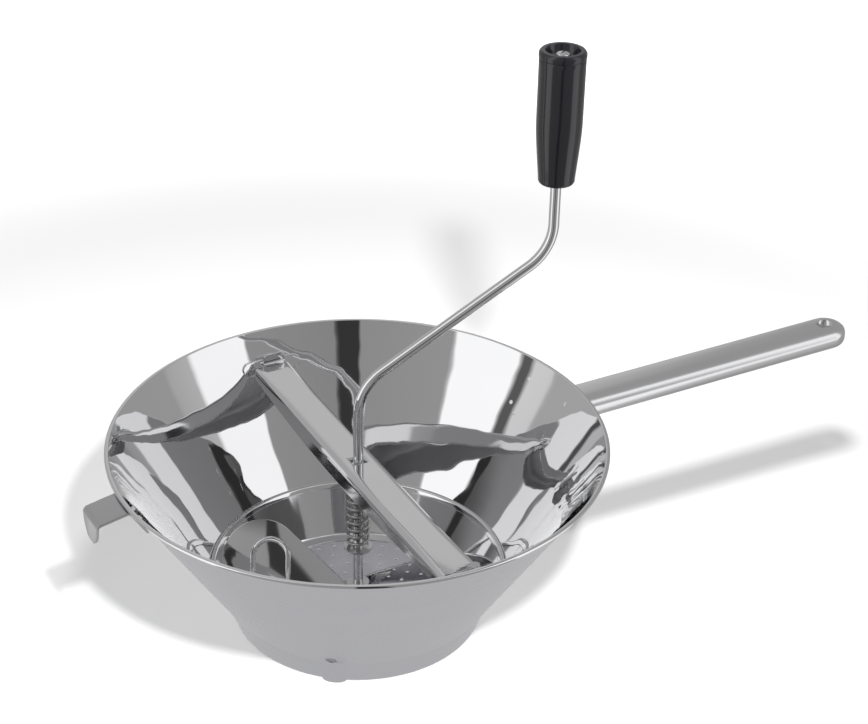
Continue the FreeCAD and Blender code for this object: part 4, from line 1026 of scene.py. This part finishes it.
@dataclass
class PotHook:
    """The bent strip under the rim."""

    bowl: Bowl
    angle: float = 180.6
    sheet: float = 1.5
    width: float = 18.5
    top: float = 94.6
    shoulder: float = 91.2
    reach: float = 134.5
    tip: float = 78.5
    foot: float = 81.0
    bend: float = 2.4
    gap: float = 0.1
    edge: float = 0.35
    tip_least: float = 0.8
    step: float = 1.2
    bend_steps: int = 8
    edge_steps: int = 3

    def wall(self, z: float) -> float:
        """Radius of the strip's middle where it lies on the bowl, at a height."""
        return self.bowl.outside(z) + self.gap + self.sheet / 2 * self.bowl.lean

    def section(self, left: float) -> list[Point]:
        """The strip's section, narrower in its round tip.

        Args:
            left: Length left to the tip.

        Returns:
            The closed section.
        """
        half = self.width / 2
        if left < half:
            half = max(math.sqrt(half**2 - (half - left) ** 2), self.tip_least)
        return flat_bar(half, self.sheet, self.edge, self.edge_steps)

    def build(self) -> None:
        """Make the strip along its bent line."""
        half, lean = self.sheet / 2, self.bowl.lean
        root = self.bowl.outside(self.top) + self.gap
        fall = (self.top - self.shoulder) / (self.reach - root)
        sunk = half * math.hypot(1, fall)
        high = self.top - (half * lean * fall + sunk) / (1 + fall * self.bowl.slope)
        drop = self.reach - half
        corners = [(self.wall(self.foot), self.foot, 0.0), (self.wall(high), high, self.bend),
                   (drop, self.shoulder + fall * half - sunk, self.bend), (drop, self.tip, 0.0)]
        line = divided(rounded(corners, self.bend_steps), lambda z: self.step)
        last = max(i for i, (x, z) in enumerate(line) if abs(x - drop) < TINY and z >= self.tip - TINY)
        turn = turned(self.angle)
        path = [turn @ Vector((x, 0, z)) for x, z in line[:last + 1]]
        length = length_of(path)
        mould = Mould("hook_strip")
        mould.sweep(path, lambda share: self.section((1 - share) * length), first=turn @ Vector((0, 1, 0)))
        settle(mould.finish([HOOK_STEEL.material()]), Body.BOWL, Slot.SATIN, "pot_hook")


@dataclass
class Crossbar:
    """The channel across the bowl, with tabs and toes at its ends."""

    seats: BarSeats
    angle: float = 1.1
    top: float = 84.5
    width: float = 20.0
    sheet: float = 1.2
    bend: float = 4.2
    flange_mid: float = 11.5
    flange_end: float = 5.0
    flange_half: float = 102.0
    tab_width: float = 12.0
    tab_right: float = 8.4
    tab_reach: float = 105.6
    tab_rise: float = 5.1
    tab_bend: float = 1.2
    tab_corner: float = 2.0
    toe_width: float = 4.2
    toe_gap: float = 0.7
    lap: float = 0.5
    hole_radius: float = 2.65
    foot_round: float = 0.3
    edge: float = 0.4
    tab_step: float = 1.0
    bend_steps: int = 8
    edge_steps: int = 4
    hole_points: int = 48
    stations: int = 48

    @property
    def turn(self) -> Matrix:
        """The bar's small turn about the shaft."""
        return turned(self.angle)

    def section(self, y: float) -> Ring:
        """The channel's section, its outside first.

        Args:
            y: Place along the bar.

        Returns:
            The section's points.
        """
        rise = self.flange_mid - self.flange_end
        radius = (self.flange_half**2 + rise**2) / (2 * rise)
        foot = self.top - self.flange_mid + radius - math.sqrt(radius**2 - y**2)
        half, t = self.width / 2, self.sheet
        inner, edge = self.bend - t, self.foot_round
        corners = [
            (-half, foot, edge), (-half, self.top, self.bend), (half, self.top, self.bend), (half, foot, edge),
            (half - t, foot, edge), (half - t, self.top - t, inner), (t - half, self.top - t, inner),
            (t - half, foot, edge),
        ]
        return [self.turn @ Vector((x, y, z)) for x, z in held(corners, self.bend_steps)]

    def build(self) -> None:
        """Make the channel and its ends, and cut the rod's hole."""
        mould = Mould("bar_channel")
        places = [self.flange_half * (2 * i / self.stations - 1) for i in range(self.stations + 1)]
        mould.rings([self.section(y) for y in places], inside_from=4 * (self.bend_steps + 3))
        # The inside takes the paler steel, painted light on the channel's dim inside.
        channel = mould.finish([BAR_STEEL.material(), BAR_INSIDE_PAINTED_LIGHT.material()])
        hole = circle(ORIGIN, self.hole_radius, self.hole_points)
        cut(channel, hole, 4 * self.sheet, Matrix.Translation((0, 0, self.top)))
        settle(channel, Body.BOWL, Slot.POLISHED, "crossbar")
        ends = Mould("bar_ends")
        for side in (-1, 1):
            self.build_end(ends, side)
        settle(ends.finish([BAR_STEEL.material()]), Body.BOWL, Slot.POLISHED)

    def build_end(self, mould: Mould, side: int) -> None:
        """One end: the strip that turns up as a tab, and the toe beside it.

        Args:
            mould: Where the end goes.
            side: Which end, -1 or 1.
        """
        t = self.sheet / 2
        level = self.top - t
        root, back = self.flange_half - self.lap, self.tab_reach - t
        high = self.top + self.tab_rise
        corners = [(root, level, 0.0), (back, level, self.tab_bend + t), (back, high, 0.0)]
        bent = divided(rounded(corners, self.bend_steps), lambda z: self.tab_step)
        last = max(i for i, point in enumerate(bent) if point[1] >= high - TINY)
        middle = self.tab_right - self.tab_width / 2
        path = [self.turn @ Vector((middle, side * y, z)) for y, z in bent[:last + 1]]
        mould.sweep(path, self.strip(self.tab_width / 2, path), first=self.turn @ Vector((1, 0, 0)))
        bowl, seats = self.seats.bowl, self.seats
        tip = bowl.inside(self.top - self.sheet) - self.toe_gap
        tip -= seats.gap + seats.thick * bowl.lean
        beside = self.toe_width / 2 - self.tab_right
        mould.sweep([self.turn @ Vector((beside, side * y, level)) for y in (root, tip)],
                    self.strip(self.toe_width / 2), first=self.turn @ Vector((1, 0, 0)))

    def strip(self, half: float, path: Sequence[Vector] = ()) -> Callable[[float], list[Point]]:
        """The section of a strip of the sheet.

        Args:
            half: Half its width.
            path: Its line, if the corners at its end are rounded.

        Returns:
            A function that gives the section at a share of the length.
        """
        def section(share: float) -> list[Point]:
            """The section at a share of the length.

            Args:
                share: The share, from 0 to 1.

            Returns:
                The closed section.
            """
            left = length_of(path[round(share * (len(path) - 1)):])
            short = max(self.tab_corner - left, 0.0) if path else 0.0
            wide = half - self.tab_corner + math.sqrt(self.tab_corner**2 - short**2)
            return flat_bar(wide, self.sheet, self.edge, self.edge_steps)

        return section


@dataclass
class Crank:
    """The bent rod and the spring on it."""

    rod_radius: float = 2.5
    rod_foot: float = 1.4
    rod_bend: float = 26.0
    arm_foot: float = 124.4
    arm_head: float = 189.7
    radius: float = 91.0
    angle: float = -15.0
    rod_head: float = 282.6
    spring_wire: float = 1.5
    spring_radius: float = 5.0
    spring_turns: float = 9.0
    spring_foot: float = 35.85
    spring_head: float = 72.35
    turn_steps: int = 48
    bend_steps: int = 24
    rod_sides: int = 40
    wire_sides: int = 14

    def build(self) -> None:
        """Make the rod and the spring."""
        lean = math.atan2(self.arm_head - self.arm_foot, self.radius)
        run = self.rod_bend * math.tan((math.pi / 2 - lean) / 2)
        lean_deg = math.degrees(lean)
        line = [(0.0, self.rod_foot)]
        line += arc((self.rod_bend, self.arm_foot - run), self.rod_bend, 180, 90 + lean_deg, self.bend_steps)
        line += arc((self.radius - self.rod_bend, self.arm_head + run), self.rod_bend, lean_deg - 90, 0,
                    self.bend_steps)
        line.append((self.radius, self.rod_head))
        turn = turned(self.angle)
        mould = Mould("crank_bar")
        mould.tube([turn @ Vector((x, 0, z)) for x, z in line], lambda share: self.rod_radius, self.rod_sides)
        settle(mould.finish([ROD_STEEL.material()]), Body.CRANK, Slot.POLISHED, "crank_rod")
        self.build_spring()

    def build_spring(self) -> None:
        """Make the coil."""
        steps = int(self.spring_turns * self.turn_steps)
        rise = self.spring_head - self.spring_foot
        line = [polar(2 * math.pi * self.spring_turns * share, self.spring_radius, self.spring_foot + rise * share)
                for share in (i / steps for i in range(steps + 1))]
        mould = Mould("spring_coil")
        mould.tube(line, lambda share: self.spring_wire / 2, self.wire_sides)
        coil = mould.finish([SPRING_STEEL.material()])
        settle(coil, Body.SEAT, Slot.POLISHED, "spring")
        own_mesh(coil)


@dataclass
class Blade:
    """The scraper: a disc and two raised wings with pressed beads."""

    sheet: float = 1.2
    foot: float = 3.5
    angle: float = 155.0
    tilt: float = 54.0
    offset: float = 12.0
    reach: float = 53.5
    lobe: Triple = (47.5, 26.0, 19.6)
    heel: float = 6.0
    neck: Point = (10.0, 17.8)
    bead_radius: float = 1.5
    bead_half: float = 8.7
    bead_middle: Point = (43.4, 27.2)
    bead_foot: float = 9.0
    disc_radius: float = 15.0
    bore_radius: float = 2.52
    edge: float = 0.3
    bead_least: float = 0.45
    bead_fade: float = 0.12
    bead_sides: int = 20
    leg_steps: int = 8
    arch_steps: int = 32
    lobe_steps: int = 48
    disc_points: int = 60
    bore_points: int = 36

    def tangent(self, outside: Point, side: int) -> float:
        """Where a line from a point touches the lobe.

        Args:
            outside: The point.
            side: Which of the two lines, -1 or 1.

        Returns:
            The direction from the lobe's middle, in degrees.
        """
        x, y, radius = self.lobe
        back = Vector(outside) - Vector((x, y))
        return math.degrees(math.atan2(back.y, back.x) - side * math.acos(radius / back.length))

    def build(self) -> None:
        """Make the blade."""
        x, y, radius = self.lobe
        start = self.tangent((self.reach, 0.0), -1)
        end = self.tangent(self.neck, 1) % 360
        outline = [(-self.heel, 0.0), (self.reach, 0.0), *arc((x, y), radius, start, end, self.lobe_steps), self.neck]
        mould = Mould("blade_wings")
        bore = circle(ORIGIN, self.bore_radius, self.bore_points)
        mould.plate(circle(ORIGIN, self.disc_radius, self.disc_points), self.sheet, [bore],
                    turned(self.angle) @ Matrix.Translation((0, 0, self.foot)))
        plane = Matrix.Translation((0, self.offset, self.foot)) @ turned(180 - self.tilt, "X")
        for half in (0.0, 180.0):
            place = turned(self.angle + half) @ plane
            mould.plate(outline, self.sheet, (), place, edge=self.edge)
            mould.tube([place @ Vector((u, v, 0)) for u, v in self.bead_line()], self.bead_taper, self.bead_sides)
        settle(mould.finish([BLADE_STEEL.material()]), Body.CRANK, Slot.POLISHED, "blade")

    def bead_line(self) -> list[Point]:
        """The middle of the bead: two legs and the arch that joins them.

        Returns:
            The line's points.
        """
        x, y = self.bead_middle
        legs = [self.bead_foot + (y - self.bead_foot) * i / self.leg_steps for i in range(self.leg_steps)]
        left = [(x - self.bead_half, v) for v in legs]
        right = [(x + self.bead_half, v) for v in reversed(legs)]
        return [*left, *arc((x, y), self.bead_half, 180, 0, self.arch_steps), *right]

    def bead_taper(self, share: float) -> float:
        """Radius of the bead, fading at its feet."""
        end = min(share, 1 - share)
        return self.bead_radius * (self.bead_least + (1 - self.bead_least) * smooth_step(0.0, self.bead_fade, end))


@dataclass
class Grip:
    """The turned plastic grip and its screw."""

    crank: Crank
    foot: float = 224.0
    length: float = 63.5
    bore: float = 2.56
    recess_radius: float = 7.5
    recess_deep: float = 4.6
    recess_edge: float = 0.5
    recess_lip: float = 0.6
    foot_radius: float = 7.3
    foot_edge: Point = (8.0, 0.35)
    swell: tuple[Point, ...] = ((8.4, 1.2), (8.6, 4.0), (9.4, 12.5), (10.2, 22.0), (10.5, 29.0), (10.55, 42.0))
    swell_radius: float = 10.6
    groove_radius: float = 10.3
    groove_deep: float = 3.6
    groove_half: float = 0.4
    band_radius: float = 10.8
    band_foot_round: float = 0.5
    band_round: float = 1.2
    top_radius: float = 9.9
    top_round: float = 1.0
    curve_steps: int = 6
    counter_radius: float = 4.9
    counter_deep: float = 3.2
    screw_foot: float = 284.4
    screw_radius: float = 3.3
    screw_tall: float = 2.2
    screw_rim: float = 1.0
    shank_radius: float = 1.5
    shank_length: float = 11.0
    core: float = 0.02
    slot_width: float = 0.9
    slot_deep: float = 1.1
    slot_turn: float = 35.0
    slot_reach: float = 5.0
    slot_tall: float = 4.0
    dome_steps: int = 10
    sharp: float = 50.0
    segments: int = 96

    def place(self, angle: float, r: float, z: float) -> Vector:
        """Place a point about the grip's axis.

        Args:
            angle: The point's direction.
            r: Its radius.
            z: Its height.

        Returns:
            The point's place.
        """
        turn = math.radians(self.crank.angle)
        return Vector((self.crank.radius * math.cos(turn) + r * math.cos(angle),
                       self.crank.radius * math.sin(turn) + r * math.sin(angle), z))

    def build(self) -> None:
        """Make the grip and the screw."""
        top, groove = self.length, self.length - self.groove_deep
        floor = top - self.recess_deep
        swell = curve_through([*self.swell, (self.swell_radius, groove - self.groove_half)], self.curve_steps)
        band = rounded([
            (self.groove_radius, groove, 0.0), (self.band_radius, groove + self.groove_half, self.band_foot_round),
            (self.band_radius, top - self.band_round, self.band_round), (self.top_radius, top, self.top_round),
            (self.recess_radius, top, 0.0),
        ], self.curve_steps)[:-1]
        outline = [
            (self.counter_radius, 0.0), (self.foot_radius, 0.0), self.foot_edge, *swell, *band,
            (self.recess_radius + self.recess_edge, top), (self.recess_radius, top - self.recess_lip),
            (self.recess_radius, floor + self.recess_edge), (self.recess_radius - self.recess_edge, floor),
            (self.bore, floor), (self.bore, self.counter_deep), (self.counter_radius, self.counter_deep),
        ]
        mould = Mould("grip_body")
        mould.spin([(r, self.foot + z) for r, z in outline], self.segments, self.place)
        settle(mould.finish([GRIP_PLASTIC.material()], self.sharp), Body.GRIP, Slot.PLASTIC, "grip")
        self.build_screw()

    def build_screw(self) -> None:
        """Make the domed screw head with its slot."""
        dome = [(self.screw_radius * math.cos(a), self.screw_rim + (self.screw_tall - self.screw_rim) * math.sin(a))
                for a in (math.pi / 2 * i / self.dome_steps for i in range(self.dome_steps))]
        outline = [(self.core, -self.shank_length), (self.shank_radius, -self.shank_length), (self.shank_radius, 0.0),
                   (self.screw_radius, 0.0), *dome, (self.core, self.screw_tall)]
        mould = Mould("screw_head")
        mould.spin([(r, self.screw_foot + z) for r, z in outline], self.segments // 2, self.place)
        head = mould.finish([ROD_STEEL.material()])
        wide, half = self.slot_reach, self.slot_width / 2
        middle = self.place(0, 0, self.screw_foot + self.screw_tall - self.slot_deep + self.slot_tall / 2)
        cut(head, [(-wide, -half), (wide, -half), (wide, half), (-wide, half)], self.slot_tall,
            Matrix.Translation(middle) @ turned(self.slot_turn))
        settle(head, Body.CRANK, Slot.POLISHED, "grip_screw")


def dress_nodes() -> None:
    """Give the small inner nodes that stay their steel."""
    for name in ("handle_bracket", "bar_bush", "spring_washer", "retaining_clip", "blade_hub", "hub_pin",
                 "grip_collar", "grip_washer"):
        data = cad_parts[name].data
        data.materials.clear()
        data.materials.append(HIDDEN_STEEL.material())
        LOG.info("%s: dressed", name)


@dataclass
class Studio:
    """Floor, surrounding light, lamps and camera.

    Each wall is a direction in degrees to the camera's right, its brightness when level and its brightness when steep.
    """

    camera_place: Triple = (0.0, -811.63, 600.85)
    yaw: float = 2.49
    pitch: float = 29.63
    roll: float = 1.30
    part_turn: float = -25.0
    lens: float = 82.95
    sensor: float = 36.0
    floor_half: float = 6000.0
    floor_pale: float = 0.45
    glow_reach: Point = (430.0, 800.0)
    back_glow: float = 0.17
    back_reach: Point = (140.0, 270.0)
    # Painted reflection: in the metal the floor glows this grey near the object, standing in for the shade under it,
    # out to the grey reach.
    mirrored_floor_shade: float = 0.58
    # Painted shade: the floor is darkened under the bowl, out to the under reach.
    under_bowl_shade: float = 0.3
    under_shade_reach: Point = (50.0, 64.0)
    mirrored_shade_reach: Point = (150.0, 250.0)
    front_place: Triple = (125.0, -600.0, 720.0)
    front_size: float = 0.05
    front_power: float = 12.0
    upper_place: Triple = (64.0, -192.0, 800.0)
    upper_size: float = 0.12
    upper_power: float = 3.4
    fill_power: float = 6.4
    wall_light: float = 1.4
    steep: Point = (0.75, 0.92)
    near: float = 10.0
    bounces: int = 32
    walls: tuple[Triple, ...] = (
        (-180, 0.47, 0.47), (-165, 0.42, 0.42), (-150, 0.36, 0.36), (-103, 0.37, 0.37), (-101, 0.60, 0.60),
        (-91, 0.62, 0.62), (-89, 0.10, 0.10), (-83.5, 0.10, 0.10), (-82, 1.0, 1.0), (-50, 1.0, 1.0),
        (-49, 0.30, 0.12), (-1, 0.27, 0.10), (0, 0.035, 0.035), (11, 0.035, 0.035), (12, 0.24, 0.24),
        (56.5, 0.27, 0.27), (57.5, 0.94, 0.94), (85, 0.94, 0.94), (87, 0.44, 0.44), (99, 0.38, 0.38),
        (101, 0.31, 0.31), (160, 0.29, 0.29), (170, 0.29, 0.29), (176, 0.47, 0.47), (180, 0.47, 0.47),
    )

    def build(self) -> None:
        """Make everything round the object."""
        self.build_floor()
        self.build_world()
        self.build_lamps()
        self.build_camera()
        bpy.context.scene.view_settings.view_transform = "Standard"
        bpy.context.scene.cycles.max_bounces = self.bounces
        bpy.context.scene.cycles.glossy_bounces = self.bounces

    def build_floor(self) -> None:
        """A pale floor, glowing where the lamps fall off and painted darker under the bowl; seen in the metal it glows
        as a painted reflection, grey near the object for the shade there, fading to the walls' tones.
        """
        mould = Mould("floor")
        half = self.floor_half
        mould.plate([(-half, -half), (half, -half), (half, half), (-half, half)], 2.0, (),
                    Matrix.Translation((0, 0, -1.0)))
        material, graph, pale = start_material("floor_pale")
        place = graph.node("ShaderNodeTexCoord").outputs["Object"]
        away = graph.node("ShaderNodeVectorMath", {0: place}, operation="LENGTH").outputs["Value"]
        back = turned(self.part_turn) @ Vector((0, 1, 0))
        behind = graph.node("ShaderNodeVectorMath", {0: place, 1: back}, operation="DOT_PRODUCT").outputs["Value"]
        lift = graph.math("ADD", self.rise(graph, behind, self.back_reach, (0.0, self.back_glow)),
                          self.rise(graph, away, self.glow_reach))
        # Painted shade: darkens the floor's colour and glow under the bowl.
        under = self.rise(graph, away, self.under_shade_reach, (self.under_bowl_shade, 1.0))
        graph.feed(pale, {"Roughness": 1.0, "Specular IOR Level": 0.0, "Emission Color": WHITE,
                          "Emission Strength": graph.math("MULTIPLY", lift, under),
                          "Base Color": graph.math("MULTIPLY", under, self.floor_pale)})
        walls = graph.node("ShaderNodeGroup", {"Direction": place}, node_tree=self.walls_group())
        # Painted reflection: glossy rays see the floor glow grey near the object and the walls' tones further out.
        tone = graph.mix("FLOAT", self.rise(graph, away, self.mirrored_shade_reach), self.mirrored_floor_shade, walls.outputs["Tone"])
        glow = graph.node("ShaderNodeEmission", {"Strength": tone}).outputs["Emission"]
        mirrored = graph.node("ShaderNodeLightPath").outputs["Is Glossy Ray"]
        both = graph.node("ShaderNodeMixShader", {"Fac": mirrored, 1: pale.outputs["BSDF"], 2: glow})
        graph.feed(material.node_tree.nodes["Material Output"], {"Surface": both.outputs["Shader"]})
        mould.finish([material])

    @staticmethod
    def rise(graph: Graph, distance: Socket, reach: Point,
             values: Point = (0.0, 1.0)) -> Socket:
        """A value that changes smoothly with a distance, whose reach is in millimetres."""
        return graph.smooth(distance, (reach[0] * MM, reach[1] * MM), values)

    def walls_group(self) -> bpy.types.NodeTree:
        """Brightness of the studio by direction: white boxes at both sides, grey in front, dark gaps between.

        Returns:
            The node group, with input Direction and output Tone.
        """
        name = "studio_walls"
        if name not in bpy.data.node_groups:
            graph, start, end = start_group(name, ("Direction",), ("Tone",))
            angles = (0, 0, math.radians(90 - self.part_turn))
            turn = graph.node("ShaderNodeMapping", {"Vector": start.outputs["Direction"], "Rotation": angles})
            axes = graph.node("ShaderNodeSeparateXYZ", {"Vector": turn.outputs["Vector"]}).outputs
            azimuth = graph.math("ARCTAN2", axes["Y"], axes["X"])
            place = graph.math("MULTIPLY_ADD", azimuth, 1 / (2 * math.pi), 0.5)
            level, steep = (self.ramp(graph, place, column) for column in (1, 2))
            tone = graph.mix("FLOAT", graph.smooth(axes["Z"], self.steep), level, steep)
            graph.feed(end, {"Tone": graph.math("MULTIPLY", tone, self.wall_light)})
        return bpy.data.node_groups[name]

    def ramp(self, graph: Graph, place: Socket, column: int) -> Socket:
        """One brightness of the walls by direction.

        Args:
            graph: The group's nodes.
            place: The direction, from 0 to 1.
            column: Which brightness to take, 1 for level directions and 2 for steep ones.

        Returns:
            The brightness's socket.
        """
        node = graph.node("ShaderNodeValToRGB", {"Fac": place})
        stops = node.color_ramp.elements
        while len(stops) < len(self.walls):
            stops.new(0.5)
        for stop, wall in zip(stops, self.walls):
            stop.position = wall[0] / 360 + 0.5
            stop.color = (*[wall[column]] * 3, 1)
        return node.outputs["Color"]

    def build_world(self) -> None:
        """The walls as surrounding light."""
        world = bpy.data.worlds.new("studio")
        bpy.context.scene.world = world
        world.use_nodes = True
        graph = Graph(world.node_tree)
        direction = graph.node("ShaderNodeTexCoord").outputs["Generated"]
        walls = graph.node("ShaderNodeGroup", {"Direction": direction}, node_tree=self.walls_group())
        graph.feed(world.node_tree.nodes["Background"], {"Color": WHITE, "Strength": walls.outputs["Tone"]})

    def build_lamps(self) -> None:
        """A lamp to the right of the camera, one above it and a fill that only the handle shades."""
        handle = bpy.data.objects["handle_tube"]
        lamps = (("front", self.front_place, self.front_size, self.front_power, "EXCLUDE"),
                 ("upper", self.upper_place, self.upper_size, self.upper_power, ""),
                 ("fill", self.upper_place, self.upper_size, self.fill_power, "INCLUDE"))
        for name, place, size, power, shade in lamps:
            data = bpy.data.lights.new(name, "AREA")
            data.shape = "DISK"
            data.size = size
            data.energy = power
            lamp = bpy.data.objects.new(name, data)
            lamp.location = turned(self.part_turn) @ Vector(place) * MM
            lamp.rotation_euler = (-lamp.location).to_track_quat("-Z", "Y").to_euler()
            lamp.visible_glossy = False
            bpy.context.scene.collection.objects.link(lamp)
            if shade:
                blockers = bpy.data.collections.new(f"{name}_blockers")
                blockers.objects.link(handle)
                blockers.collection_objects[0].light_linking.link_state = shade
                lamp.light_linking.blocker_collection = blockers

    def build_camera(self) -> None:
        """The camera of the photograph."""
        yaw, pitch, roll = (math.radians(v) for v in (self.yaw, self.pitch, self.roll))
        forward = Vector((math.sin(yaw) * math.cos(pitch), math.cos(yaw) * math.cos(pitch), -math.sin(pitch)))
        right = Vector((math.cos(yaw), -math.sin(yaw), 0))
        up = right.cross(forward)
        right, up = right * math.cos(roll) + up * math.sin(roll), up * math.cos(roll) - right * math.sin(roll)
        pose = Matrix((right, up, -forward)).transposed().to_4x4()
        pose.translation = Vector(self.camera_place) * MM
        data = bpy.data.cameras.new("camera")
        data.lens = self.lens
        data.sensor_width = self.sensor
        data.sensor_fit = "HORIZONTAL"
        data.clip_start = self.near * MM
        camera = bpy.data.objects.new("camera", data)
        camera.matrix_world = turned(self.part_turn) @ pose
        bpy.context.scene.collection.objects.link(camera)
        bpy.context.scene.camera = camera


def main() -> None:
    """Build the pieces in order."""
    logging.basicConfig(level=logging.INFO, format="%(message)s")
    bowl = Bowl()
    bowl.build()
    Sieve(bowl).build()
    Handle(bowl).build()
    PotHook(bowl).build()
    seats = BarSeats(bowl)
    seats.build()
    Crossbar(seats).build()
    crank = Crank()
    crank.build()
    Blade().build()
    Grip(crank).build()
    dress_nodes()
    Studio().build()


if __name__ == "__main__":
    main()
